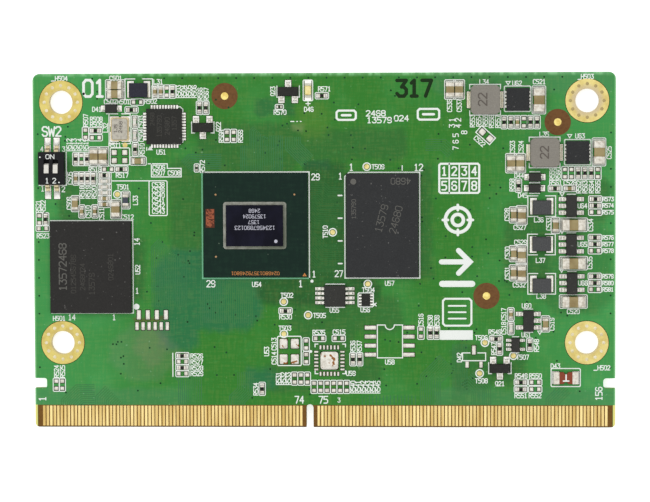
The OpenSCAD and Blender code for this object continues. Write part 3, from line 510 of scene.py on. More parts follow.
def padGoldFinish():
    # gold hole pads: rubbed and browner close to the bore
    look = holeLook
    f = Finish("hole_pad_gold")
    x, y, z = f.axes()
    right, worn = x > 0, (x > 0) * (y > 0)
    middleY = (boardLow[1] + look["rise"] + boardHigh[1] - look["inset"]) / 2
    holeX = abs(x) - (boardHigh[0] - look["inset"])
    holeY = abs(y - middleY) - (boardHigh[1] - look["inset"] - middleY)
    away = (holeX * holeX + holeY * holeY).root()
    ragged = away + (f.noise(1.6, 2) - 0.5) * 0.7 * worn
    rub = (1 - ragged.ramp(look["rubFrom"], look["rubTo"] + worn * 0.5)) * (0.25 + 0.75 * worn)
    cloud = f.noise(0.8, 3).ramp(0.35, 0.7)
    leftTone = f.mix(cloud, tone(186, 171, 100), tone(170, 152, 84))
    rightTone = f.mix(cloud, tone(196, 182, 118), tone(180, 162, 98))
    colour = f.mix(right, leftTone, rightTone)
    colour = f.mix(rub * 0.8, colour, tone(170, 156, 130))
    grain = f.noise(6, 3)
    return f.surface({"Base Color": colour, "Metallic": 1.0, "Roughness": 0.36 + grain * 0.16,
                      "Normal": f.bump(grain, 0.01, 0.5)})


def tinFinish(name, bright, dull, rough, metal=0.6):
    f = Finish(name)
    cloud = f.noise(2.4, 3)
    colour = f.mix(cloud.ramp(0.4, 0.7), bright, dull)
    return f.surface({"Base Color": colour, "Metallic": metal, "Roughness": rough + cloud * 0.2,
                      "Normal": f.bump(f.noise(8, 3), 0.012, 0.5)})


def plugFinish():
    # pale solder over the vias, dull and brown on the worn pad at the back right
    f = Finish("via_plug")
    x, y, z = f.axes()
    cloud = f.noise(2.4, 3)
    fresh = f.mix(cloud.ramp(0.4, 0.7), tone(226, 217, 188), tone(208, 195, 152))
    colour = f.mix((x > 0) * (y > 0), fresh, tone(170, 152, 104))
    return f.surface({"Base Color": colour, "Metallic": 0.2, "Roughness": 0.4 + cloud * 0.2,
                      "Normal": f.bump(f.noise(8, 3), 0.012, 0.5)})


# middle, half sizes and corner cut of the areas whose pads are partly dry
dryPads = [(-5, -14.6, 1.9, 2.2, 0), (1.0, -15.6, 1.4, 1.4, 0)]


def padFinish(name, bright, dull, bare):
    # tinned pads, with brown copper left bare in spots on the large ones by the empty footprints
    f = Finish(name)
    x, y, z = f.axes()
    cloud = f.noise(2.0, 3)
    colour = f.mix(cloud.ramp(0.4, 0.7), bright, dull)
    dry = areas(x, y, dryPads, 0.1) * f.noise(1.1, 2).ramp(0.575, 0.61)
    colour = f.mix(dry, colour, bare)
    return f.surface({"Base Color": colour, "Metallic": 0.6 - dry * 0.3, "Roughness": 0.32 + cloud * 0.2,
                      "Normal": f.bump(f.noise(7, 3), 0.012, 0.5)})


def switchLeadFinish():
    # gilt by the housing, tinned further out
    f = Finish("switch_lead")
    x, y, z = f.axes()
    low, high = (np.array(corner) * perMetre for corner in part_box("switch_housing"))
    middle, half = (low[1] + high[1]) / 2, (high[1] - low[1]) / 2
    out = (abs(y - middle + (f.noise(1.4, 2) - 0.5) * 0.8) - half).ramp(0.75, 1.15)
    colour = f.mix(out, tone(192, 180, 146), tone(196, 194, 185))
    return f.surface({"Base Color": colour, "Metallic": 0.6, "Roughness": 0.34 + f.noise(3, 2) * 0.12})


def ceramicFinish(name, warm, dark):
    f = Finish(name)
    each = f.noise(0.7, 1)
    colour = f.mix(each.ramp(0.3, 0.7), warm, dark)
    colour = f.mix(f.noise(10, 2).ramp(0.5, 0.75) * 0.25, colour, tone(190, 166, 124))
    return f.surface({"Base Color": colour, "Roughness": 0.5 + f.noise(6, 2) * 0.2,
                      "Normal": f.bump(f.noise(14, 3), 0.008, 0.5)})


def resistorFinish():
    # black glaze on the upper face, white alumina on the sides
    f = Finish("resistor_glaze")
    up = f.facing()
    glaze = f.mix(f.noise(3, 3).ramp(0.4, 0.7), tone(20, 20, 20), tone(44, 42, 40))
    colour = f.mix(up.ramp(0.5, 0.75), tone(206, 204, 196), glaze)
    return f.surface({"Base Color": colour, "Roughness": 0.4 + f.noise(7, 2) * 0.2})


def mouldFinish(name, colour, pale, grain=7.0, rough=0.55, flecks=0.25):
    # moulding compound: fine filler grain and a few pale flecks
    f = Finish(name)
    filler = f.noise(grain, 4)
    cloud = f.noise(0.5, 2)
    fleck = f.noise(grain * 0.45, 2).ramp(0.7, 0.76) * flecks
    body = f.mix(filler.ramp(0.35, 0.75) * 0.35 + cloud * 0.2, colour, pale)
    body = f.mix(fleck, body, tone(170, 168, 164))
    return f.surface({"Base Color": body, "Roughness": rough + filler * 0.2,
                      "Normal": f.bump(filler, 0.02, 0.5)})


def chokeFinish():
    # ferrite; the one on the left of the board is darker and bluer
    f = Finish("choke_ferrite")
    x, y, z = f.axes()
    grain = f.noise(6, 4)
    right = f.mix(grain.ramp(0.35, 0.75) * 0.5, tone(68, 69, 70), tone(96, 97, 97))
    left = f.mix(grain.ramp(0.35, 0.75) * 0.5, tone(42, 42, 52), tone(64, 64, 75))
    return f.surface({"Base Color": f.mix(x > 0, left, right), "Roughness": 0.5 + grain * 0.2,
                      "Normal": f.bump(grain, 0.02, 0.5)})


def substrateFinish():
    # dark green package laminate with faint routing under its mask
    f = Finish("package_laminate")
    route = f.noise(2.6, 2, (1, 0.2, 1)) * f.noise(2.6, 2, (0.2, 1, 1))
    colour = f.mix(route.ramp(0.2, 0.4) * 0.5, tone(17, 38, 31), tone(25, 50, 38))
    colour = f.mix(f.noise(1.6, 2).ramp(0.74, 0.77) * 0.4, colour, tone(120, 140, 120))
    return f.surface({"Base Color": colour, "Roughness": 0.4 + f.noise(3, 2) * 0.14,
                      "Normal": f.bump(route, 0.012, 0.4), "Specular IOR Level": 0.07})


def dieFinish():
    f = Finish("polished_silicon")
    smear = f.noise(0.55, 3, (1, 0.6, 1))
    colour = f.mix(smear.ramp(0.35, 0.7), tone(9, 9, 23), tone(19, 19, 36))
    return f.surface({"Base Color": colour, "Roughness": 0.16 + smear * 0.16, "Specular IOR Level": 0.05})


def resinFinish():
    f = Finish("cured_resin")
    x, y, z = f.axes()
    flow = f.noise(1.2, 3)
    colour = f.mix(flow.ramp(0.35, 0.7), tone(152, 153, 144), tone(124, 125, 114))
    # painted shade: darker and greener towards the front right
    low, high = (np.array(corner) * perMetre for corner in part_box("processor_die"))
    middle = (low + high) / 2
    shade = ((x - middle[0]) * 0.1 - (y - middle[1]) * 0.09).ramp(-0.2, 0.55)
    colour = f.mix(shade * 0.75, colour, tone(92, 100, 82))
    return f.surface({"Base Color": colour, "Roughness": 0.3 + flow * 0.15, "Coat Weight": 0.3,
                      "Normal": f.bump(flow, 0.05, 0.4)})


def lensFinish():
    f = Finish("led_lens_yellow")
    cloud = f.noise(1.6, 2)
    colour = f.mix(cloud.ramp(0.3, 0.7), tone(236, 224, 158), tone(224, 202, 122))
    return f.surface({"Base Color": colour, "Roughness": 0.2 + cloud * 0.1, "Coat Weight": 0.5})


white = inkFinish("screen_ink_white", tone(233, 237, 232), tone(196, 216, 200))
thin = inkFinish("screen_ink_thin", tone(120, 186, 148), tone(96, 164, 118))
black = inkFinish("stamp_ink_black", tone(24, 46, 20), tone(42, 72, 34))
orange = inkFinish("package_ink_orange", tone(206, 136, 76), tone(140, 88, 50))
rust = inkFinish("package_ink_rust", tone(156, 88, 62), tone(110, 60, 42))
darkRust = inkFinish("package_field_rust", tone(92, 50, 36), tone(70, 40, 30))
pale = inkFinish("laser_mark_pale", tone(184, 184, 196), tone(120, 120, 134))
faint = inkFinish("laser_mark_faint", tone(98, 97, 92), tone(66, 65, 62))
fainter = inkFinish("laser_mark_fainter", tone(66, 65, 61), tone(52, 51, 48))
umber = inkFinish("mark_umber", tone(96, 90, 84), tone(110, 104, 98))
contactGold = goldFinish("contact_gold", tone(208, 188, 130), tone(182, 154, 92), (1.6, 0.08, 1))
dotGold = goldFinish("dot_gold", tone(206, 190, 118), tone(186, 162, 88), (1, 1, 1))
testGold = goldFinish("test_point_gold", tone(190, 178, 124), tone(172, 154, 96), (1, 1, 1))
dullGold = goldFinish("dull_gold", tone(150, 120, 88), tone(128, 98, 66), (1, 1, 1))
padGold = padGoldFinish()
solder = tinFinish("solder_tin", tone(230, 229, 223), tone(212, 209, 200), 0.26, 0.4)
plug = plugFinish()
cap = tinFinish("chip_end_tin", tone(204, 200, 189), tone(178, 171, 157), 0.36)
lead = tinFinish("lead_tin", tone(228, 226, 216), tone(208, 203, 192), 0.3, 0.3)
clip = tinFinish("clip_tin", tone(242, 238, 218), tone(226, 214, 182), 0.45, 0.1)
goldLead = switchLeadFinish()
pad = padFinish("pad_tin", tone(204, 201, 192), tone(184, 179, 168), tone(136, 88, 42))
lidMetal = tinFinish("crystal_lid_metal", tone(172, 168, 156), tone(156, 152, 142), 0.42)
tan = ceramicFinish("capacitor_tan", tone(158, 144, 104), tone(138, 121, 84))
greyCeramic = ceramicFinish("capacitor_grey", tone(222, 221, 214), tone(206, 204, 196))
resistor = resistorFinish()
memoryMould = mouldFinish("memory_mould", tone(44, 45, 46), tone(64, 65, 66), 6, 0.6, 0.3)
storageMould = mouldFinish("storage_mould", tone(40, 39, 38), tone(58, 57, 55), 6, 0.55, 0.25)
blackMould = mouldFinish("moulding_black", tone(38, 38, 36), tone(64, 64, 60), 8)
leadedMould = mouldFinish("moulding_grey_black", tone(45, 45, 43), tone(74, 74, 70), 8)
converterMould = mouldFinish("moulding_charcoal", tone(42, 43, 44), tone(66, 67, 67), 8)
switchMould = mouldFinish("switch_black", tone(24, 24, 26), tone(44, 44, 47), 9, 0.5, 0.1)
coilMould = mouldFinish("coil_powder_grey", tone(128, 124, 116), tone(154, 149, 140), 5, 0.6, 0.2)
chokeMould = chokeFinish()
beadMould = mouldFinish("bead_ferrite", tone(66, 70, 80), tone(92, 96, 104), 7)
sliderPlastic = mouldFinish("slider_white", tone(224, 222, 214), tone(200, 197, 188), 6, 0.45, 0.0)
ledPlastic = mouldFinish("led_base_white", tone(206, 206, 192), tone(188, 188, 174), 6, 0.5, 0.0)
crystalCeramic = mouldFinish("crystal_base_ceramic", tone(216, 196, 150), tone(236, 222, 186), 6, 0.5, 0.2)
fuseGlass = mouldFinish("fuse_red", tone(128, 60, 42), tone(152, 84, 60), 6, 0.35, 0.1)
print("finishes made")


# Bare board: dress, traces and vias

openBand = boxes("contacts_top")[1][:, 1].max() + 0.12  # up to here the mask is open
dress(boardFinish(openBand), "circuit_board")
dress(contactGold, "contacts_top", "contacts_bottom")
dress(padGold, "mounting_hole_plating")
dress(dotGold, "fiducial_dots")
dress(testGold, "test_points")
dress(solder, "component_lands", "processor_balls", "memory_balls", "storage_balls")

traceShape = {
    "width": 0.11,
    "rise": 0.008,
    # first trace of each bundle, how many lie beside it, and their step across
    "bundles": [
        ([(-11.6, 11.3), (-11.6, 14.8)], 5, -0.25),
        ([(-10.3, 11.3), (-10.3, 17.0), (-9.8, 17.5)], 11, -0.25),
        ([(-7.5, 11.3), (-7.5, 16.2)], 8, -0.25),
        ([(-5.3, 16.0), (-5.3, 14.3), (-2.9, 11.9)], 9, 0.26),
        ([(-1.8, 9.7), (0.1, 9.7), (0.9, 8.9), (2.9, 8.9)], 22, -0.27),
        ([(-1.8, 3.0), (-0.6, 1.8), (0.4, 0.8), (2.9, 0.8)], 15, -0.27),
        ([(-24.3, -7.9), (-24.3, 0.6), (-23.2, 1.7)], 20, -0.26),
        ([(-17.4, -10.2), (-17.4, -4.2)], 27, -0.28),
        ([(-20.6, -21.8), (-20.6, -18.5), (-21.8, -17.3)], 13, -0.27),
        ([(-13.4, -21.8), (-13.4, -20.6), (-12.2, -19.4), (-12.2, -17.2)], 9, -0.27),
        ([(5.4, -21.8), (5.4, -20.5)], 16, -0.5),
        ([(13.6, -21.8), (13.6, -17.6), (16.4, -14.8)], 11, -0.28),
        ([(18.2, -21.8), (18.2, -13.2)], 8, -0.28),
        ([(20.8, -21.8), (20.8, -20.2), (19.4, -18.8)], 10, -0.3),
        ([(31.3, -21.8), (31.3, -20.9), (33.4, -18.8)], 7, -0.3),
        ([(-37.3, -21.8), (-37.3, -21.1), (-35.2, -19.0), (-32.6, -19.0)], 12, -0.28),
        ([(-32.4, -21.8), (-32.4, -20.6), (-31.0, -19.2)], 12, -0.3),
        ([(14.4, 15.6), (17.2, 15.6), (18.6, 14.2)], 6, -0.3),
        ([(-20.0, 12.6), (-19.0, 13.6), (-14.4, 13.6)], 8, -0.28),
    ],
}


def besidePath(path, offset):
    # the path moved sideways by offset, with mitred bends
    path = np.asarray(path, float)
    run = np.diff(path, axis=0)
    run /= np.linalg.norm(run, axis=1)[:, None]
    before, after = np.vstack([run[:1], run]), np.vstack([run, run[-1:]])
    mitre = (before + after) / (1 + (before * after).sum(1))[:, None]
    return path + np.stack([-mitre[:, 1], mitre[:, 0]], 1) * offset


def routedTraces():
    # the first path of a bundle, moved sideways step by step, carries a flat band each time
    shape = traceShape
    bands = []
    low, high = topZ - sunkBy, topZ + shape["rise"]
    for path, count, step in shape["bundles"]:
        bands += [ribbon(besidePath(path, i * step), shape["width"], low, high) for i in range(count)]
    addPiece("routed_traces", bands, traceFinish())


viaShape = {
    "radius": 0.14, "rise": 0.006, "clear": 0.3,
    "edgeStep": 2.54, "edgeInset": 0.68, "rowFrom": (3.4, 8.5), "rowTo": (3, 2),  # rows along x and y
    "scatter": 330, "seed": 7, "scatterFrom": [2, 4], "scatterTo": [2, 2],
}


def tentedVias(blockedLow, blockedHigh):
    # a row along three edges, and a seeded scatter that keeps off the parts
    shape = viaShape
    inset = shape["edgeInset"]
    alongX, alongY = (np.arange(low + first, high - last, shape["edgeStep"]) for low, high, first, last
                      in zip(boardLow, boardHigh, shape["rowFrom"], shape["rowTo"]))
    back = np.stack([alongX, np.full(len(alongX), boardHigh[1] - inset)], -1)
    left = np.stack([np.full(len(alongY), boardLow[0] + inset), alongY], -1)
    right = np.stack([np.full(len(alongY), boardHigh[0] - inset), alongY], -1)
    draw = np.random.default_rng(shape["seed"])
    low, high = boardLow[:2] + shape["scatterFrom"], boardHigh[:2] - shape["scatterTo"]
    loose = low + draw.random((shape["scatter"], 2)) * (high - low)
    places = np.concatenate([back, left, right, loose])
    inside = ((places[:, None] > blockedLow[None, :, :2] - shape["clear"])
              & (places[:, None] < blockedHigh[None, :, :2] + shape["clear"])).all(-1).any(-1)
    solid = discs(places[~inside], shape["radius"], topZ - sunkBy, topZ + shape["rise"], 8)
    addPiece("tented_vias", [solid], viaFinish())


# Chips with two metal ends

chipEase = {
    "body": 0.035,
    "end": 0.045,
    # middles of the capacitors that are pale grey instead of tan
    "greyOnes": np.array([
        (-26.55, 18.2), (-26.55, 16.3), (-30.9, 9.88), (-30.9, 9.06), (-30.9, 8.24), (26.35, -10.95)]),
}


def chipPieces(name, bodyNode, finish):
    # round-edged ceramic blocks inside round-edged metal caps
    endNode = name + "_terminals"
    low, high = boxes(bodyNode)
    ease = min(chipEase["body"], (high - low).min() * 0.12)
    middle = (low + high)[:, :2] / 2
    grey = (np.linalg.norm(middle[:, None] - chipEase["greyOnes"], axis=-1) < 0.4).any(1)
    for ending, group, look in (("_ceramic", ~grey, finish), ("_grey", grey, greyCeramic)):
        if group.any():
            blocks = easedBoxes(low[group], high[group], ease)
            addPiece(name + ending, [blocks], look, replaces=[bodyNode])
    low, high = boxes(endNode)
    ease = min(chipEase["end"], (high - low).min() * 0.2)
    addPiece(name + "_ends", [easedBoxes(low, high, ease)], cap, replaces=[endNode])


chipPieces("large_capacitor", "large_capacitor_bodies", tan)
chipPieces("medium_capacitor", "medium_capacitor_bodies", tan)
chipPieces("small_capacitor", "small_capacitor_bodies", tan)
chipPieces("resistor", "resistor_bodies", resistor)
chipPieces("bead", "bead_body", beadMould)
chipPieces("decoupling_capacitor", "decoupling_capacitor_bodies", tan)
print("chips made")


# Moulded and metal parts with eased edges

easedParts = [
    ("processor_substrate", 0.03, substrateFinish(), "substrate"),
    ("processor_die", 0.02, dieFinish(), "silicon"),
    ("memory_package", 0.03, memoryMould, "mould_grey"),
    ("storage_package", 0.03, storageMould, "mould_brown"),
    ("controller_body", 0.03, blackMould, "mould_black"),
    ("converter_bodies", 0.03, converterMould, "mould_black"),
    ("sensor_body", 0.02, blackMould, "mould_black"),
    ("regulator_bodies", 0.03, leadedMould, "mould_black"),
    ("regulator_leads", 0.025, lead, "tin"),
    ("gate_body", 0.03, leadedMould, "mould_black"),
    ("gate_leads", 0.025, lead, "tin"),
    ("transistor_bodies", 0.03, blackMould, "mould_black"),
    ("transistor_leads", 0.025, lead, "tin"),
    ("driver_body", 0.03, leadedMould, "mould_black"),
    ("driver_leads", 0.025, lead, "tin"),
    ("diode_bodies", 0.03, leadedMould, "mould_black"),
    ("diode_leads", 0.025, lead, "tin"),
    ("switch_housing", 0.03, switchMould, "switch_black"),
    ("switch_leads", 0.03, goldLead, "lead_gold"),
    ("switch_slider_1", 0.03, sliderPlastic, "slider_white"),
    ("switch_slider_2", 0.03, sliderPlastic, "slider_white"),
    ("crystal_base", 0.04, crystalCeramic, "crystal_base"),
    ("crystal_lid", 0.06, lidMetal, "lid_metal"),
    ("power_inductor_bodies", 0.1, coilMould, "coil_grey"),
    ("power_inductor_terminals", 0.04, clip, "tin"),
    ("small_inductor_bodies", 0.08, chokeMould, "choke_dark"),
    ("small_inductor_terminals", 0.03, clip, "tin"),
    ("led_base", 0.03, ledPlastic, "led_white"),
    ("led_lens", 0.08, lensFinish(), "led_yellow"),
    ("fuse_body", 0.04, fuseGlass, "fuse_red"),
]
for node, ease, finish, slot in easedParts:
    easedCopy(node, ease, finish)
dress(resinFinish(), "processor_resin")
dress(lead, "controller_leads", "converter_leads", "sensor_leads")
dress(cap, "fuse_terminals")
print("moulded parts made")


# Solder

landLow, landHigh = boxes("component_lands")
filletShape = {"climb": 0.7, "reachShare": 2.6, "least": 0.06, "sink": 0.006, "steps": 5}


def solderFillets(*endNodes):
    # hollow quarter-round wedges from the outer face of each metal end to the rim of its land
    shape = filletShape
    endLow, endHigh = boxes(*endNodes)
    middle = (endLow + endHigh) / 2
    over = ((landLow[None, :, :2] <= middle[:, None, :2])
            & (middle[:, None, :2] <= landHigh[None, :, :2])).all(-1)
    sameFace = abs(landHigh[None, :, 2] - endLow[:, None, 2]) < 0.1
    held = over & sameFace
    low, high = landLow[held.argmax(1)], landHigh[held.argmax(1)]
    spare = np.stack([endLow[:, 0] - low[:, 0], high[:, 0] - endHigh[:, 0],
                      endLow[:, 1] - low[:, 1], high[:, 1] - endHigh[:, 1]], 1)
    side, reach = spare.argmax(1), spare.max(1)
    keep = held.any(1) & (reach > shape["least"])
    side, reach, low, high = side[keep], reach[keep], low[keep], high[keep]
    endLow, endHigh, middle = endLow[keep], endHigh[keep], middle[keep]
    away = np.array([[-1, 0], [1, 0], [0, -1], [0, 1]])[side]
    across = np.stack([-away[:, 1], away[:, 0]], -1)
    halfEnd = (abs(endHigh - endLow)[:, :2] * abs(across)).sum(1) / 2
    halfLand = ((high - low)[:, :2] * abs(across)).sum(1) / 2
    faceOut = (abs(endHigh - endLow)[:, :2] * abs(away)).sum(1) / 2
    rise = np.minimum(shape["climb"] * (endHigh[:, 2] - high[:, 2]), shape["reachShare"] * reach)
    angle = np.linspace(0, np.pi / 2, shape["steps"])
    out = reach[:, None] * (1 - np.sin(angle)) - 0.01
    lift = rise[:, None] * (1 - np.cos(angle)) + 0.004
    share = lift / lift.max(1, keepdims=True)
    half = halfLand[:, None] * (1 - share) * 0.96 + halfEnd[:, None] * share * 0.96
    # six points round each cross section: under, sides and a rounded top
    acrossShare = np.array([-1, 1, 1, 0.75, -0.75, -1])
    liftShare = np.array([0, 0, 0.4, 1, 1, 0.4])
    plan = (middle[:, None, None, :2] + away[:, None, None] * (faceOut[:, None] + out)[..., None, None]
            + across[:, None, None] * (half[..., None] * acrossShare)[..., None])
    z = high[:, 2, None, None] - shape["sink"] + (lift + shape["sink"])[..., None] * liftShare
    return loft(np.concatenate([plan, z[..., None]], -1))


addPiece("solder_fillets", [solderFillets(
    "large_capacitor_terminals", "medium_capacitor_terminals", "small_capacitor_terminals",
    "resistor_terminals", "bead_terminals", "fuse_terminals", "regulator_leads", "gate_leads",
    "transistor_leads", "driver_leads", "diode_leads", "switch_leads")], solder)
addPiece("coil_fillets", [solderFillets("power_inductor_terminals")], clip)

domeShape = {"rise": 0.06, "corner": 0.3}


def padFrames(node):
    # middle, two half axes and top of every four-sided pad, also of turned ones
    points, triangles = weld(node)
    group = looseParts(points, triangles)
    middle = np.zeros((group.max() + 1, 3))
    np.add.at(middle, group, points)
    middle /= np.bincount(group)[:, None]
    away = points - middle[group]
    order = np.lexsort((np.arctan2(away[:, 1], away[:, 0]), -points[:, 2], group))
    corners = points[order].reshape(-1, 8, 3)[:, :4]
    alongU = (corners[:, 1] - corners[:, 0])[:, :2] / 2
    alongV = (corners[:, 2] - corners[:, 1])[:, :2] / 2
    return middle[:, :2], alongU, alongV, corners[:, 0, 2]


def padRings(frames, inset, corner, level):
    # rounded rings about each pad, drawn in by the inset at each level
    middle, alongU, alongV, top = frames
    halfU, halfV = np.linalg.norm(alongU, axis=1), np.linalg.norm(alongV, axis=1)
    u, v = roundedRing(halfU[:, None] - inset, halfV[:, None] - inset, corner)
    plan = (middle[:, None, None] + alongU[:, None, None] * (u / halfU[:, None, None])[..., None]
            + alongV[:, None, None] * (v / halfV[:, None, None])[..., None])
    return loft(np.concatenate([plan, np.broadcast_to(level[..., None, None], (*plan.shape[:3], 1))], -1))


def solderDomes(frames):
    # each bare pad carries a low cushion of solder: rings that draw in as they rise
    least = np.minimum(np.linalg.norm(frames[1], axis=1), np.linalg.norm(frames[2], axis=1))[:, None]
    draw = np.array([0.0, 0.0, 0.08, 0.28, 0.6])
    height = frames[3][:, None] - topZ + np.minimum(domeShape["rise"], least * 0.22)
    level = topZ + height * np.array([0.0, 0.45, 0.72, 0.92, 1.0])
    return padRings(frames, least * draw, least * domeShape["corner"] * (1 - draw * 0.4), level)


domes = solderDomes(padFrames("bare_pads"))
addPiece("solder_pads", [domes], pad, smooth=60, replaces=["bare_pads"])
print("solder made")


# Screen print

glyphs = {
    "0": [[(0, 1), (0, 5), (1, 6), (3, 6), (4, 5), (4, 1), (3, 0), (1, 0), (0, 1)]],
    "1": [[(0.8, 5), (2, 6), (2, 0)], [(0.8, 0), (3.2, 0)]],
    "2": [[(0, 5), (1, 6), (3, 6), (4, 5), (4, 4), (0, 0), (4, 0)]],
    "3": [[(0, 6), (4, 6), (2, 3.5), (3, 3.5), (4, 2.5), (4, 1), (3, 0), (1, 0), (0, 1)]],
    "4": [[(3, 0), (3, 6), (0, 2), (4, 2)]],
    "5": [[(4, 6), (0, 6), (0, 3.4), (3, 3.4), (4, 2.5), (4, 1), (3, 0), (0, 0)]],
    "6": [[(3.8, 5.4), (3, 6), (1, 6), (0, 5), (0, 1), (1, 0), (3, 0), (4, 1), (4, 2.4), (3, 3.3), (0, 2.9)]],
    "7": [[(0, 6), (4, 6), (1.5, 0)]],
    "8": [[(1, 3.2), (0, 4.1), (0, 5.2), (1, 6), (3, 6), (4, 5.2), (4, 4.1), (3, 3.2), (1, 3.2)],
          [(1, 3.2), (0, 2.3), (0, 0.9), (1, 0), (3, 0), (4, 0.9), (4, 2.3), (3, 3.2)]],
    "9": [[(0.2, 0.6), (1, 0), (3, 0), (4, 1), (4, 5), (3, 6), (1, 6), (0, 5), (0, 3.6), (1, 2.7), (4, 3.1)]],
    "C": [[(4, 5), (3, 6), (1, 6), (0, 5), (0, 1), (1, 0), (3, 0), (4, 1)]],
    "D": [[(0, 0), (0, 6), (2.4, 6), (4, 4.5), (4, 1.5), (2.4, 0), (0, 0)]],
    "H": [[(0, 0), (0, 6)], [(4, 0), (4, 6)], [(0, 3), (4, 3)]],
    "L": [[(0, 6), (0, 0), (4, 0)]],
    "N": [[(0, 0), (0, 6), (4, 0), (4, 6)]],
    "O": [[(0, 1), (0, 5), (1, 6), (3, 6), (4, 5), (4, 1), (3, 0), (1, 0), (0, 1)]],
    "Q": [[(0, 1), (0, 5), (1, 6), (3, 6), (4, 5), (4, 1), (3, 0), (1, 0), (0, 1)],
          [(2.4, 1.6), (4.2, -0.4)]],
    "R": [[(0, 0), (0, 6), (3, 6), (4, 5), (4, 4), (3, 3), (0, 3)], [(2, 3), (4, 0)]],
    "S": [[(4, 5), (3, 6), (1, 6), (0, 5), (0, 4), (1, 3.1),
           (3, 2.9), (4, 2), (4, 1), (3, 0), (1, 0), (0, 1)]],
    "T": [[(0, 6), (4, 6)], [(2, 6), (2, 0)]],
    "U": [[(0, 6), (0, 1), (1, 0), (3, 0), (4, 1), (4, 6)]],
    "W": [[(-0.4, 6), (0.6, 0), (2, 4.5), (3.4, 0), (4.4, 6)]],
}


def lettering(text, x, y, height, turn=0, spread=0.73):
    # glyph strokes on a 4 x 6 grid, parted at sharp bends, set in a line about (x, y) and turned
    unit = np.array([height * spread * 0.74 / 4, height / 6])
    advance = height * spread
    shift = -advance * (len(text) - 1) / 2 - unit[0] * 2
    cos, sin = math.cos(math.radians(turn)), math.sin(math.radians(turn))
    spin = np.array([[cos, sin], [-sin, cos]])
    strokes = []
    for i, letter in enumerate(text):
        for stroke in glyphs.get(letter, []):
            path = (np.array(stroke) * unit + [shift + i * advance, -height / 2]) @ spin + [x, y]
            run = np.diff(path, axis=0)
            run /= np.linalg.norm(run, axis=1)[:, None]
            bends = 1 + np.nonzero((run[1:] * run[:-1]).sum(1) < 0.2)[0]
            strokes += [path[a:b + 1] for a, b in zip([0, *bends], [*bends, len(path) - 1])]
    return strokes


inkLook = {
    "line": 0.15, "frame": 0.12, "stroke": 0.125, "packageLine": 0.18, "thinLine": 0.2, "tick": 0.22,
    "triangle": 0.13, "solidTriangle": 0.26, "ring": 0.17, "ringRadius": 0.53, "margin": 0.16,
    "rise": 0.012, "crossingRise": 0.02, "layer": 0.0008,
    "label": 0.62, "smallLabel": 0.54, "numberStroke": 0.17,  # heights, and stroke as a share of height
    # running numbers start after these
    "numbers": {"R": 500, "C": 500, "T": 500, "H": 500, "L": 30, "U": 50, "D": 40, "Q": 20},
}

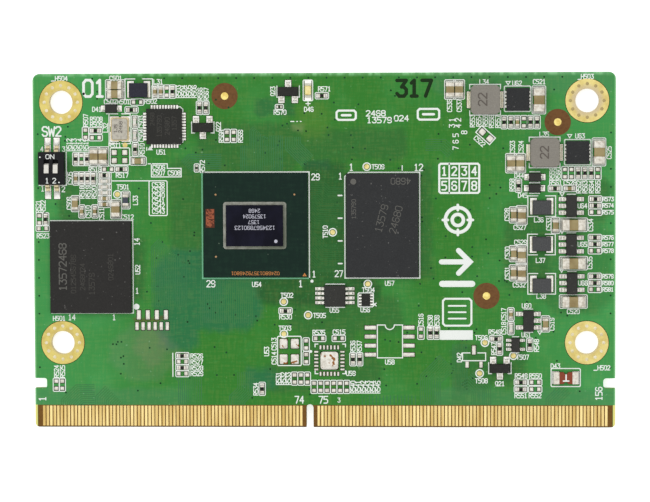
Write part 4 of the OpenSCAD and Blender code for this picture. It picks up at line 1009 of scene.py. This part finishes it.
# designator letter, middle and turn of every label
labelPlaces = [
    ("C", -29.2, 24.35, 0), ("L", -23.2, 23.85, 0), ("C", -30.0, 21.05, 0), ("R", -28.1, 21.05, 0),
    ("R", -24.3, 21.1, 0), ("R", -20.35, 22.45, 90), ("R", -19.6, 22.45, 90), ("R", -18.9, 22.45, 90),
    ("R", -18.15, 22.45, 90), ("D", -31.9, 20.0, 0), ("R", -33.5, 18.45, 90), ("R", -32.0, 18.6, 0),
    ("R", -32.0, 17.85, 0), ("L", -30.7, 17.4, 90), ("C", -25.65, 18.2, 90), ("C", -25.65, 16.3, 90),
    ("R", -25.55, 14.3, 90), ("R", -29.4, 14.95, 0), ("R", -35.9, 15.0, 90), ("R", -35.15, 15.0, 90),
    ("R", -34.35, 15.0, 90), ("R", -33.5, 15.0, 90), ("R", -32.25, 11.55, 0), ("R", -28.4, 10.7, 0),
    ("C", -35.8, 10.3, 90), ("U", -22.85, 13.95, 0), ("C", -23.2, 11.8, 0), ("C", -23.2, 11.0, 0),
    ("C", -21.05, 11.0, 0), ("R", -34.1, 8.3, 90), ("R", -33.25, 8.3, 90), ("R", -32.4, 8.3, 90),
    ("T", -28.3, 9.05, 0), ("L", -26.55, 7.15, 90), ("C", -35.95, 6.75, 90), ("C", -33.25, 5.55, 90),
    ("C", -31.35, 5.2, 90), ("C", -27.7, 4.8, 0), ("R", -40.35, 6.3, 90), ("R", -39.65, 6.3, 90),
    ("R", -39.7, 2.15, 0), ("U", -26.3, -2.65, 90), ("H", -37.5, -9.55, 0), ("R", -37.95, -17.1, 90),
    ("R", -37.1, -17.1, 90), ("R", -18.0, -14.9, 0), ("R", -18.0, -15.75, 0), ("R", -18.0, -16.6, 0),
    ("R", -18.0, -17.4, 0), ("T", -5.2, -6.3, 0), ("R", -5.4, -9.35, 0), ("T", -5.5, -10.95, 0),
    ("C", -7.05, -13.2, 90), ("C", -7.05, -15.2, 90), ("U", -8.1, -14.25, 90), ("R", -6.45, -18.1, 90),
    ("R", -5.75, -18.1, 90), ("R", -5.05, -18.1, 90), ("R", -9.65, -19.6, 90), ("U", -9.45, -4.75, 0),
    ("U", 1.5, -8.4, 0), ("U", 5.85, -8.35, 0), ("T", 6.3, -5.55, 0), ("U", 9.3, -4.6, 0),
    ("T", -0.6, -9.15, 0), ("R", -0.7, -11.55, 0), ("C", 2.15, -11.5, 0), ("R", 4.1, -13.6, 90),
    ("R", 5.0, -13.6, 90), ("U", 9.3, -15.75, 0), ("C", 13.7, -9.8, 90), ("R", 15.0, -10.0, 90),
    ("R", 15.95, -10.0, 90), ("U", 3.8, -17.35, 0), ("R", 4.1, -19.3, 90), ("R", 4.8, -19.3, 90),
    ("R", 5.5, -19.3, 90), ("R", 6.2, -19.3, 90), ("R", 6.9, -19.3, 90), ("R", 7.6, -19.3, 90),
    ("D", 19.1, -15.1, 90), ("U", 28.55, -7.8, 0), ("C", 25.35, -9.0, 90), ("C", 25.35, -10.95, 90),
    ("C", 32.1, -10.4, 90), ("C", 35.1, -8.6, 0), ("R", 24.1, -11.5, 0), ("U", 28.5, -11.9, 0),
    ("T", 22.2, -12.3, 0), ("R", 23.95, -13.85, 90), ("R", 29.95, -13.4, 90), ("T", 28.0, -15.05, 0),
    ("T", 22.2, -18.4, 0), ("Q", 24.8, -18.8, 0), ("D", 32.6, -16.3, 0), ("R", 27.8, -17.7, 0),
    ("R", 29.8, -17.7, 0), ("R", 27.75, -20.5, 0), ("R", 29.75, -20.5, 0), ("H", 39.4, -16.55, 0),
    ("L", 22.6, 23.65, 0), ("U", 27.2, 23.45, 0), ("C", 30.3, 23.65, 0), ("H", 37.0, 24.35, 0),
    ("H", -36.9, 24.35, 0), ("R", 20.95, 18.2, 90), ("R", 21.85, 18.3, 90), ("R", 22.75, 18.3, 90),
    ("R", 23.6, 18.1, 90), ("R", 24.5, 18.1, 90), ("C", 21.95, 15.35, -42), ("L", 31.0, 16.3, 0),
    ("U", 36.0, 16.05, 0), ("C", 26.55, 14.5, 90), ("C", 27.75, 14.5, 90), ("C", 40.05, 13.7, 90),
    ("D", 27.5, 10.5, 0), ("R", 26.5, 9.2, 90), ("D", 28.0, 7.75, 0), ("R", 32.1, 10.75, 90),
    ("R", 32.95, 10.75, 90), ("R", 32.6, 9.5, 0), ("C", 34.6, 9.5, 0), ("R", 35.85, 8.9, 90),
    ("R", 36.7, 8.9, 90), ("R", 37.6, 8.9, 90), ("R", 38.5, 8.9, 90), ("U", 36.35, 6.25, 0),
    ("U", 36.35, 0.85, 0), ("U", 36.45, -4.6, 0), ("L", 30.25, 4.3, 0), ("L", 30.5, -1.4, 0),
    ("L", 30.6, -6.45, 0), ("C", 27.6, 3.25, 0), ("C", 25.8, 5.05, 90),
    ("C", 27.7, 1.15, 0), ("C", 25.85, -0.35, 90), ("C", 25.85, -3.2, 90), ("C", 27.5, -4.85, 0),
    ("C", 31.65, 3.7, 90), ("C", 37.5, 3.55, 90), ("C", 37.4, -1.75, 90), ("R", -17.3, 22.1, 90),
    ("R", -16.45, 22.1, 90), ("Q", -14.75, 17.5, 90), ("R", -14.35, 16.15, 90), ("R", -11.65, 16.15, 90),
    ("Q", -7.05, 22.45, 90), ("R", -6.05, 19.5, 0), ("D", -2.0, 19.9, 0), ("R", 0.2, 22.75, 0),
    ("R", -17.05, 11.9, 90), ("T", 7.7, 11.8, 0), ("T", 0.25, 2.65, 90), ("C", 17.75, 20.35, 90),
    ("C", 19.1, 20.35, 90),
    ("C", -23.3, 9.35, 0), ("C", -23.3, 8.6, 0), ("C", -23.3, 7.85, 0), ("C", -23.3, 7.1, 0),
    ("C", -23.3, 6.35, 0), ("C", -23.3, 5.6, 0),
]
smallLabelPlaces = [("R", 39.95, y, 0) for y in (7.2, 6.3, 5.35, 1.8, 0.87, -0.05, -3.65, -4.6, -5.5)]
# plain numbers: text, middle, height, turn
numberPlaces = [
    ("01", -32.3, 22.95, 2.3, 0), ("SW2", -38.35, 16.9, 1.3, 0), ("4", -39.75, 14.4, 0.65, 0),
    ("3", -36.65, 14.4, 0.65, 0), ("1", -39.7, 8.85, 0.75, 0), ("2", -36.75, 8.75, 0.75, 0),
    ("14", -35.7, -9.4, 0.75, 0), ("1", -29.7, -9.4, 0.75, 0), ("1", -40.0, -21.0, 0.95, 90),
    ("74", -3.5, -21.1, 0.95, 0), ("75", -0.1, -21.1, 0.95, 0), ("156", 38.7, -20.2, 0.9, 90),
    ("29", -15.95, -4.65, 0.9, 0), ("1", -3.25, -4.65, 0.9, 0), ("1", -1.35, -3.3, 0.85, 0),
    ("29", -1.1, 10.4, 0.85, 0), ("27", 2.15, -3.25, 0.85, 0), ("1", 2.4, 10.5, 0.85, 0),
    ("1", 3.95, 11.75, 0.9, 0), ("12", 13.4, 11.7, 0.9, 0), ("14", -26.4, 1.3, 0.75, 90),
    ("1", -26.4, -5.65, 0.75, 0), ("1", 18.1, 18.35, 0.75, 90), ("2", 18.95, 18.35, 0.75, 90),
    ("3", 18.1, 17.5, 0.75, 90), ("4", 18.95, 17.5, 0.75, 90), ("5", 18.6, 16.2, 0.75, 90),
    ("6", 18.6, 15.3, 0.75, 90), ("7", 18.6, 14.4, 0.75, 90), ("8", 19.8, 16.6, 0.75, 90),
    ("3", 2.1, -21.15, 0.6, 0),
]
# straight or bent lines, and closed boxes as x0, y0, x1, y1
openLines = [
    [(-28.95, 19.35), (-30.2, 19.35), (-30.2, 15.15), (-28.95, 15.15)],
    [(-28.4, 19.35), (-27.2, 19.35), (-27.2, 15.15), (-28.4, 15.15)],
    [(-38.6, 4.3), (-26.95, 4.3), (-26.95, -8.8), (-38.6, -8.8)],
    [(-29.8, 9.9), (-22.2, 9.9)], [(-36.3, 14.0), (-36.3, 9.3), (-40.2, 9.3)],
    [(-24.25, 12.3), (-22.0, 12.3), (-22.0, 11.65), (-20.05, 11.65), (-20.05, 10.45), (-24.25, 10.45),
     (-24.25, 12.3), (-24.7, 12.3)],
    [(8.65, -10.5), (7.55, -10.5), (7.55, -15.15), (11.1, -15.15), (11.1, -10.5), (9.95, -10.5)],
    [(0.3, -4.72), (2.95, -4.72)], [(0.3, -8.0), (2.95, -8.0)],
    [(11.1, 11.3), (11.1, 11.95)], [(-4.55, 18.2), (-4.1, 18.2)], [(-3.7, 18.2), (-3.6, 18.2)],
    [(-3.2, 18.2), (-3.1, 18.2)], [(20.6, -14.45), (19.55, -14.45), (19.55, -15.55), (22.8, -15.55)],
    [(22.8, -15.55), (22.8, -14.45), (21.7, -14.45)], [(-21.4, -14.5), (-21.4, -17.8)],
    [(-24.9, 14.6), (-24.9, 14.2)], [(-20.5, 20.3), (-20.1, 20.3), (-19.75, 19.95), (-19.75, 19.6)],
    [(-20.5, 15.05), (-20.1, 15.05), (-19.75, 15.4), (-19.75, 15.7)],
    [(-38.3, 24.0), (-37.9, 24.0)], [(35.7, 23.95), (36.1, 23.95)], [(38.0, -16.9), (38.4, -16.9)],
    [(-2.4, 20.7), (-1.8, 20.7)], [(-2.1, 21.0), (-2.1, 20.4)],
    [(7.0, -7.4), (7.4, -7.8)], [(7.0, -7.8), (7.4, -7.4)],
]
closedBoxes = [
    (25.42, 19.5, 29.1, 23.05), (33.83, 12.0, 37.5, 15.55),
    (4.85, -7.93, 7.0, -5.97), (-24.6, 5.0, -22.05, 9.9), (32.0, -19.2, 36.1, -16.65),
    (-6.55, -16.25, -3.2, -12.1), (-30.05, 12.15, -27.3, 14.55), (-2.78, 21.1, -1.45, 24.0),
]
memoryFrame = [(3.02, -3.87), (13.55, -3.87), (13.55, 11.02), (3.62, 11.02), (3.02, 10.42)]
processorFrame = [(-17.1, 11.1), (-2.0, 11.1), (-2.0, -3.9)]
thinLines = [[(-17.1, 11.1), (-17.1, -3.9), (-2.0, -3.9)]]
tickMarks = [(2.35, y) for y in (7.78, 4.58, 1.38, -1.82)]
solidTriangle = (-24.4, 14.45)
markTriangles = [(33.5, 7.85), (33.5, 2.6), (33.45, -2.85), (25.95, 23.45), (34.55, 16.0),
                 (30.4, -11.6)]
printDots = [(-26.5, -7.9, 0.42), (-1.65, -4.3, 0.22), (-1.85, -14.25, 0.2)]
unringed = (-27.95, 14.95)  # the one test point that has no printed ring
slantedPair = {"at": (22.8, 16.2), "half": (1.3, 0.62), "turn": -42}
frameNotch = (9.3, -10.5, 0.65)  # middle and radius of the half round in the driver's empty place
sensorCorners = {"at": (0.9, -15.3), "out": (2.15, 2.1), "arm": (1.75, 1.7)}


def printed(paths, width, closed=False, base=topZ, rise=inkLook["rise"]):
    # each band lies a hair higher than the last, so that crossings stay clean
    low, high, layer = base - sunkBy, base + rise, inkLook["layer"]
    return [ribbon(path, width, low, high + layer * (i % 9), closed) for i, path in enumerate(paths)]


def chipOutlines():
    # a box round the lands of every two-ended chip, and round every empty pair of small pads
    low, high = boxes("resistor_bodies", "small_capacitor_bodies", "medium_capacitor_bodies",
                      "large_capacitor_bodies", "bead_body")
    onTop = landHigh[:, 2] > topZ
    meets = ((landLow[None, onTop, :2] < high[:, None, :2])
             & (landHigh[None, onTop, :2] > low[:, None, :2])).all(-1)
    low = np.where(meets[..., None], landLow[None, onTop, :2], np.inf).min(1)
    high = np.where(meets[..., None], landHigh[None, onTop, :2], -np.inf).max(1)
    padLow, padHigh = boxes("bare_pads")
    size = padHigh - padLow
    small = (size[:, :2].min(1) > 0.45) & (size[:, :2].max(1) < 0.62)
    padLow, padHigh, size = padLow[small], padHigh[small], size[small]
    middle = (padLow + padHigh)[:, :2] / 2
    pairRun = np.array([1.03, 0])
    alongX = size[:, :1] < size[:, 1:2]
    partner = middle + np.where(alongX, pairRun, pairRun[::-1])
    match = np.linalg.norm(partner[:, None] - middle[None], axis=-1) < 0.05
    first, second = match.nonzero()
    low = np.concatenate([low, np.minimum(padLow[first, :2], padLow[second, :2])])
    high = np.concatenate([high, np.maximum(padHigh[first, :2], padHigh[second, :2])])
    margin = inkLook["margin"]
    return [boxPath(*(a - margin), *(b + margin)) for a, b in zip(low, high)]


def partBrackets():
    # broken frames round the coils and chokes, and short bars at the ends of moulded parts
    paths = []
    for (x0, y0, _), (x1, y1, _) in zip(*boxes("power_inductor_bodies")):
        for x, inX in ((x0 - 0.1, 0.55), (x1 + 0.1, -0.55)):
            for y, inY in ((y0 - 0.12, 0.62), (y1 + 0.12, -0.62)):
                paths.append([(x, y + inY), (x, y), (x + inX, y)])
        for y in (y0 - 0.12, y1 + 0.12):
            paths.append([(x0 + 0.4, y), (x1 - 0.4, y)])
    for (x0, y0, _), (x1, y1, _) in zip(*boxes("small_inductor_bodies")):
        middleX, middleY = (x0 + x1) / 2, (y0 + y1) / 2
        near = abs(landHigh[:, 0] + landLow[:, 0] - 2 * middleX) < 4
        near &= (abs(landHigh[:, 1] + landLow[:, 1] - 2 * middleY) < 1) & (landHigh[:, 1] - landLow[:, 1] > 2)
        y0, y1 = landLow[near, 1].min() - 0.3, landHigh[near, 1].max() + 0.3
        x0, x1 = landLow[near, 0].min() - 0.32, landHigh[near, 0].max() + 0.32
        paths.append([(middleX - 0.55, y0), (x0, y0), (x0, y1), (middleX - 0.55, y1)])
        paths.append([(middleX + 0.55, y0), (x1, y0), (x1, y1), (middleX + 0.55, y1)])
    for (x0, y0, _), (x1, y1, _) in zip(*boxes("regulator_bodies", "diode_bodies", "gate_body")):
        for y in (y0 - 0.14, y1 + 0.14):
            paths.append([(x0 + 0.15, y), (x1 - 0.15, y)])
    for (x0, y0, _), (x1, y1, _) in zip(*boxes("transistor_bodies")):
        paths.append([(x0 + 0.3, y0 - 0.13), (x0 - 0.13, y0 - 0.13), (x0 - 0.13, y1 + 0.13)])
        paths.append([(x1 - 0.3, y0 - 0.13), (x1 + 0.13, y0 - 0.13), (x1 + 0.13, y1 + 0.13)])
    return paths


def screenPrint():
    # flat bands along frames, lines, rings and arrows, then labels with running numbers
    ink = inkLook
    testLow, testHigh = boxes("test_points")
    tests = (testLow + testHigh)[:, :2] / 2
    ringed = tests[np.linalg.norm(tests - unringed, axis=1) > 0.5]
    angle = np.linspace(np.pi, 2 * np.pi, 9)
    x, y, radius = frameNotch
    arc = np.stack([x + radius * np.cos(angle), y + radius * np.sin(angle)], -1)
    lean = math.radians(slantedPair["turn"])
    spin = np.array([[math.cos(lean), math.sin(lean)], [-math.sin(lean), math.cos(lean)]])
    slant = np.array([[-1, -1], [1, -1], [1, 1], [-1, 1]]) * slantedPair["half"] @ spin + slantedPair["at"]
    (x, y), (outX, outY), (armX, armY) = sensorCorners.values()
    corners = [[(x + i * outX, y + j * armY), (x + i * outX, y + j * outY), (x + i * armX, y + j * outY)]
               for i in (-1, 1) for j in (-1, 1)]
    lines = printed(chipOutlines(), ink["frame"], True)
    lines += printed([boxPath(*box) for box in closedBoxes] + [slant], ink["line"], True)
    lines += printed(openLines + corners + partBrackets() + [arc], ink["line"], rise=ink["crossingRise"])
    lines += printed([ringPath(*place, ink["ringRadius"]) for place in ringed], ink["ring"], True)
    lines += printed([memoryFrame], ink["packageLine"], True) + printed([processorFrame], ink["packageLine"])
    lines += printed([[(x - 0.25, y), (x + 0.25, y)] for x, y in tickMarks], ink["tick"])
    arrows = [[(x - 0.3, y + 0.25), (x, y - 0.22), (x + 0.3, y + 0.25)] for x, y in markTriangles]
    lines += printed(arrows, ink["triangle"], True)
    x, y = solidTriangle
    arrow = [(x - 0.18, y - 0.12), (x + 0.18, y - 0.12), (x, y + 0.16)]
    lines += printed([arrow], ink["solidTriangle"], True)
    lines += [discs([(x, y)], radius, topZ - sunkBy, topZ + ink["rise"], 16) for x, y, radius in printDots]
    addPiece("screen_print_lines", lines, white)
    addPiece("screen_print_thin_lines", printed(thinLines, ink["thinLine"]), thin)
    counts = dict(ink["numbers"])
    texts = []
    for height, places in ((ink["label"], labelPlaces), (ink["smallLabel"], smallLabelPlaces)):
        for letter, x, y, turn in places:
            counts[letter] += 1
            texts += printed(lettering(letter + str(counts[letter]), x, y, height, turn), ink["stroke"])
    for text, x, y, height, turn in numberPlaces:
        texts += printed(lettering(text, x, y, height, turn), height * ink["numberStroke"])
    addPiece("screen_print_lettering", texts, white)


# Plain signs and numbers

signs = {
    "grid": (16.3, 8.1, 21.9, 12.2),
    "target": (18.9, 4.3, 1.75),
    "arrow": [[(16.6, -1.6), (20.2, -1.6)], [(19.0, 0.0), (20.6, -1.6), (19.0, -3.2)]],
    "underline": [(16.7, -4.7), (20.9, -4.7)],
    "panel": (16.4, -12.6, 21.0, -11.25),
    "frame": (16.8, -10.6, 20.8, -6.8),
    "frameRows": (-9.6, -8.7, -7.8),
    "capsules": [(1.9, 18.4, 4.6, 19.7), (13.3, 18.4, 16.3, 19.9)],
    "codes": [("2468", 7.4, 19.3, 0.75), ("13579", 7.9, 18.35, 0.75), ("024", 11.0, 18.6, 0.75)],
    "stamp": ("317", 12.8, 22.8, 2.2, 0, 0.8),
    # widths of their lines
    "gridFrame": 0.3, "gridLine": 0.22, "ringLine": 0.5, "spokeLine": 0.4, "arrowLine": 0.75,
    "underlineLine": 0.9, "frameLine": 0.28, "rowLine": 0.24, "codeLine": 0.15, "capsuleLine": 0.3,
    "capsuleBar": 0.35, "stampLine": 0.52,
}


def plainSigns():
    # flat bands along straight lines, circles and glyph strokes
    crossing = inkLook["crossingRise"]
    x0, y0, x1, y1 = signs["grid"]
    columns, rows = 4, 2
    stepX, stepY = (x1 - x0) / columns, (y1 - y0) / rows
    bands = printed([boxPath(x0, y0, x1, y1, 0.2)], signs["gridFrame"], True)
    uprights = [[(x0 + i * stepX, y0), (x0 + i * stepX, y1)] for i in range(1, columns)]
    bands += printed(uprights, signs["gridLine"])
    bands += printed([[(x0, y0 + stepY), (x1, y0 + stepY)]], signs["gridLine"], rise=crossing)
    for i in range(columns * rows):
        x, y = x0 + (i % columns + 0.5) * stepX, y1 - (i // columns + 0.5) * stepY
        bands += printed(lettering(str(i + 1), x, y, 1.15), signs["gridLine"])
    x, y, radius = signs["target"]
    bands += printed([ringPath(x, y, radius, 40), ringPath(x, y, radius * 0.45, 30)], signs["ringLine"], True)
    turns = [np.array([math.cos(turn), math.sin(turn)]) for turn in np.arange(4) * np.pi / 2]
    spokes = [[away * radius * 0.8 + (x, y), away * radius * 1.2 + (x, y)] for away in turns]
    bands += printed(spokes, signs["spokeLine"], rise=crossing)
    bands += printed(signs["arrow"], signs["arrowLine"])
    bands += printed([signs["underline"]], signs["underlineLine"])
    low = np.array([[*signs["panel"][:2], topZ - sunkBy]])
    high = np.array([[*signs["panel"][2:], topZ + inkLook["rise"]]])
    bands.append(easedBoxes(low, high, 0.007))
    bands += printed([boxPath(*signs["frame"], 0.3)], signs["frameLine"], True)
    bands += printed([[(17.6, y), (20.0, y)] for y in signs["frameRows"]], signs["rowLine"])
    for text, x, y, height in signs["codes"]:
        bands += printed(lettering(text, x, y, height, 0, 0.95), signs["codeLine"])
    bands += printed([boxPath(*box, 0.25) for box in signs["capsules"]], signs["capsuleLine"], True)
    bars = [[(x0 + 0.75, (y0 + y1) / 2), (x1 - 0.75, (y0 + y1) / 2)] for x0, y0, x1, y1 in signs["capsules"]]
    bands += printed(bars, signs["capsuleBar"])
    addPiece("plain_signs", bands, white)
    stamp = printed(lettering(*signs["stamp"]), signs["stampLine"], rise=0.006)
    addPiece("ink_stamp", stamp, black)


holeShape = {"viaRing": 2.35, "plug": 0.27, "count": 12, "rise": 0.012}


def holeVias():
    # a ring of filled vias in every hole pad: a low solder plug over each
    shape = holeShape
    low, high = boxes("mounting_hole_plating")
    angle = np.arange(shape["count"]) * 2 * np.pi / shape["count"]
    ring = shape["viaRing"] * np.stack([np.cos(angle), np.sin(angle)], -1)
    places = ((low + high)[:, None, :2] / 2 + ring).reshape(-1, 2)
    top = high[:, 2].max()
    addPiece("hole_pad_vias", [discs(places, shape["plug"], topZ, top + shape["rise"], 12)], plug)


windowShape = {"margin": 0.085, "rise": 0.004, "sink": 0.003, "corner": 0.1, "largest": 12}  # largest in mm2


def maskWindows():
    # the mask stands back a little round every land and pad: a thin dark plate under each
    shape = windowShape
    low, high = boxes("component_lands")
    upper = (high[:, 2] > topZ) & ((high - low)[:, :2].prod(1) < shape["largest"])
    half = (high - low)[upper] / 2
    lands = ((low + high)[upper, :2] / 2, half[:, :2] * [1, 0], half[:, :2] * [0, 1], high[upper, 2])
    pads = padFrames("bare_pads")
    plates = []
    for frames in (lands, pads):
        inset = np.full((len(frames[0]), 2), -shape["margin"]) + [0, 0.003]
        level = np.full(inset.shape, topZ) + [-shape["sink"], shape["rise"]]
        plates.append(padRings(frames, inset, np.full(inset.shape, shape["corner"]), level))
    for (x0, y0, _), (x1, y1, _) in zip(*boxes("mounting_hole_plating")):
        rim = ringPath((x0 + x1) / 2, (y0 + y1) / 2, (x1 - x0) / 2, 48)
        plates.append(ribbon(rim, 2 * shape["margin"], topZ - shape["sink"], topZ + shape["rise"], True))
    addPiece("mask_windows", plates, windowFinish())


notAbove = ("circuit_board", "contacts_bottom",
            "decoupling_capacitor_bodies", "decoupling_capacitor_terminals")
routedTraces()
tentedVias(*boxes(*[node for node in frame["nodes"] if node not in notAbove]))
maskWindows()
holeVias()
screenPrint()
plainSigns()
print("screen print made")


# Marks on the parts: plain numbers, dots and dashes

def topOf(node):
    # height of a node's upper face
    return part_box(node)[1].z * perMetre


def codeBlock(x0, y0, x1, y1, columns, rows, seed, z):
    # a seeded block of dashes
    draw = np.random.default_rng(seed)
    stepX, stepY = (x1 - x0) / columns, (y1 - y0) / rows
    column, row = np.nonzero(draw.random((columns, rows)) < 0.62)
    low = np.stack([x0 + column * stepX, y0 + row * stepY, np.full(len(row), z - sunkBy)], -1)
    return easedBoxes(low, low + [stepX, stepY, 0.01], 0.003)


# text, middle, height, turn, stroke and spread of the marks on the parts, by part
partMarks = {
    "die_marks": ("processor_die", pale, "silicon", [
        ("2468", -9.65, 5.7, 0.48, 180, 0.08, 0.85), ("13579024", -9.65, 4.9, 0.48, 180, 0.08, 0.85),
        ("1357", -9.75, 4.1, 0.48, 180, 0.08, 0.85), ("1234567890123", -9.6, 3.3, 0.5, 180, 0.08, 0.88)]),
    "substrate_marks": ("processor_substrate", orange, "substrate", [
        ("02468013579246801", -9.6, -3.15, 0.44, 180, 0.06, 0.92)]),
    "memory_marks": ("memory_package", faint, "mould_grey", [
        ("4680", 10.9, 9.8, 0.85, 180, 0.11, 0.85), ("135790", 4.3, 5.9, 0.55, 90, 0.08, 0.85),
        ("13579", 8.2, 4.6, 0.95, 75, 0.1, 0.85), ("24680", 10.2, 4.4, 0.95, 75, 0.1, 0.85)]),
    "storage_marks": ("storage_package", faint, "mould_brown", [
        ("13572468", -36.8, -2.2, 1.0, 90, 0.15, 0.85)]),
    "storage_small_marks": ("storage_package", fainter, "mould_brown", [
        ("0123456789", -35.3, -3.2, 0.65, 90, 0.1, 0.85), ("2468024", -34.0, -3.6, 0.65, 90, 0.1, 0.85),
        ("13579", -32.7, -4.6, 0.75, 90, 0.12, 0.85), ("0246801", -30.0, -2.2, 0.65, 90, 0.1, 0.85)]),
    "controller_marks": ("controller_body", fainter, "mould_black", [
        ("2468", -24.0, 18.6, 0.55, 90, 0.09, 0.85), ("135790", -23.0, 17.6, 0.6, 90, 0.1, 0.85),
        ("24680", -21.9, 17.6, 0.6, 90, 0.1, 0.85), ("1357", -20.9, 18.0, 0.6, 90, 0.09, 0.85)]),
    "switch_marks": ("switch_housing", white, "switch_black", [
        ("ON", -38.4, 13.37, 0.58, 0, 0.1, 1.15), ("1", -38.83, 10.0, 0.68, 0, 0.11, 0.85),
        ("2", -37.82, 10.0, 0.68, 0, 0.11, 0.85)]),
    "crystal_marks": ("crystal_lid", umber, "lid_metal", [
        ("2468", -28.5, 17.5, 0.44, 86, 0.08, 0.95), ("135", -29.2, 17.3, 0.42, 86, 0.08, 0.95)]),
    "coil_marks": ("power_inductor_bodies", umber, "coil_grey", [
        ("22", 22.35, 21.2, 1.15, 90, 0.2, 0.85), ("22", 30.95, 13.8, 1.1, 90, 0.2, 0.85)]),
}


markRise = {"text": 0.004, "dot": 0.008, "plate": 0.004, "dimple": 0.003, "fuse": 0.005}


def markParts():
    # glyph bands, discs and plates just above the upper face of each part
    rise = markRise
    for name, (node, ink, slot, texts) in partMarks.items():
        z = topOf(node)
        bands = []
        for text, x, y, height, turn, stroke, spread in texts:
            bands += printed(lettering(text, x, y, height, turn, spread), stroke, base=z, rise=rise["text"])
        addPiece(name, bands, ink)
    z = topOf("processor_die")
    addPiece("die_dot", [discs([(-6.65, 1.4)], 0.24, z - sunkBy, z + rise["dot"], 14)], pale)
    z = topOf("processor_substrate")
    corner = ribbon([(-2.85, -3.5), (-2.45, -3.5), (-2.65, -3.2)], 0.12, z - sunkBy, z + rise["dot"], True)
    addPiece("substrate_corner", [corner], orange)
    low, high = np.array([[-16.58, 3.3, z - sunkBy], [-15.32, 5.95, z + rise["plate"]]])[:, None]
    plate = easedBoxes(low, high, 0.003)
    code = codeBlock(-16.5, 3.36, -15.4, 5.89, 7, 15, 5, z + rise["plate"])
    addPiece("substrate_code_field", [plate], darkRust)
    addPiece("substrate_code", [code], rust)
    dots = discs([(-15.15, 7.95), (-4.05, 7.95), (-15.15, -0.8)], 0.14, z - sunkBy, z + rise["dot"], 12)
    addPiece("substrate_dots", [dots], dullGold)
    z = topOf("memory_package")
    dimple = discs([(4.25, 9.75)], 0.42, z - sunkBy, z + rise["dimple"], 20)
    addPiece("memory_dimple", [dimple], faint)
    z = topOf("switch_housing")
    dots = discs([(-39.82, 13.3), (-37.15, 9.75)], 0.1, z - sunkBy, z + rise["dot"], 10)
    addPiece("switch_dots", [dots], white)
    z = topOf("fuse_body")
    paths = [[(33.7, -18.35), (34.45, -18.35)], [(34.07, -18.35), (34.07, -17.5)]]
    addPiece("fuse_mark", printed(paths, 0.2, base=z, rise=rise["fuse"]), white)


markParts()
print("part marks made")


# Floor, light and camera

floorLook = Finish("pale_floor")
floorTone = floorLook.mix(floorLook.noise(0.02, 2), tone(246, 246, 246), tone(240, 240, 241))
floorLook.surface({"Base Color": floorTone, "Roughness": 0.7,
                   "Emission Color": floorTone, "Emission Strength": 0.6})
floorMesh = bpy.data.meshes.new("floor")
floorMesh.from_pydata([(-3, -3, 0), (3, -3, 0), (3, 3, 0), (-3, 3, 0)], [], [(0, 1, 2, 3)])
floorMesh.materials.append(floorLook.material)
floor = bpy.data.objects.new("floor", floorMesh)
bpy.context.scene.collection.objects.link(floor)

light = {"skyStrength": 0.58, "softbox": 1.2, "softboxPower": 6.6, "softboxAt": (-0.1, 0.14, 0.95)}
world = bpy.data.worlds.new("studio")
world.use_nodes = True
world.node_tree.nodes["Background"].inputs["Color"].default_value = (1, 1, 1, 1)
world.node_tree.nodes["Background"].inputs["Strength"].default_value = light["skyStrength"]
bpy.context.scene.world = world
softbox = bpy.data.lights.new("softbox", "AREA")
softbox.size = light["softbox"]
softbox.energy = light["softboxPower"]
softboxObject = bpy.data.objects.new("softbox", softbox)
softboxObject.location = light["softboxAt"]
softboxObject.rotation_euler = (math.radians(-8), math.radians(-6), 0)
bpy.context.scene.collection.objects.link(softboxObject)

view = {"at": (15.57, 21.48, 381.74), "turn": (-0.0566, 0.0403, -0.0024), "lens": 149.75, "sensor": 36.0}
camera = bpy.data.cameras.new("camera")
camera.lens = view["lens"]
camera.sensor_width = view["sensor"]
camera.clip_start = 0.01
cameraObject = bpy.data.objects.new("camera", camera)
turn = np.array(view["turn"])
cameraObject.matrix_world = (Matrix.Translation(np.array(view["at"]) / perMetre)
                             @ Matrix.Rotation(np.linalg.norm(turn), 4, turn / np.linalg.norm(turn)))
bpy.context.scene.collection.objects.link(cameraObject)
bpy.context.scene.camera = cameraObject
bpy.context.scene.view_settings.view_transform = "Standard"
print("stage set")
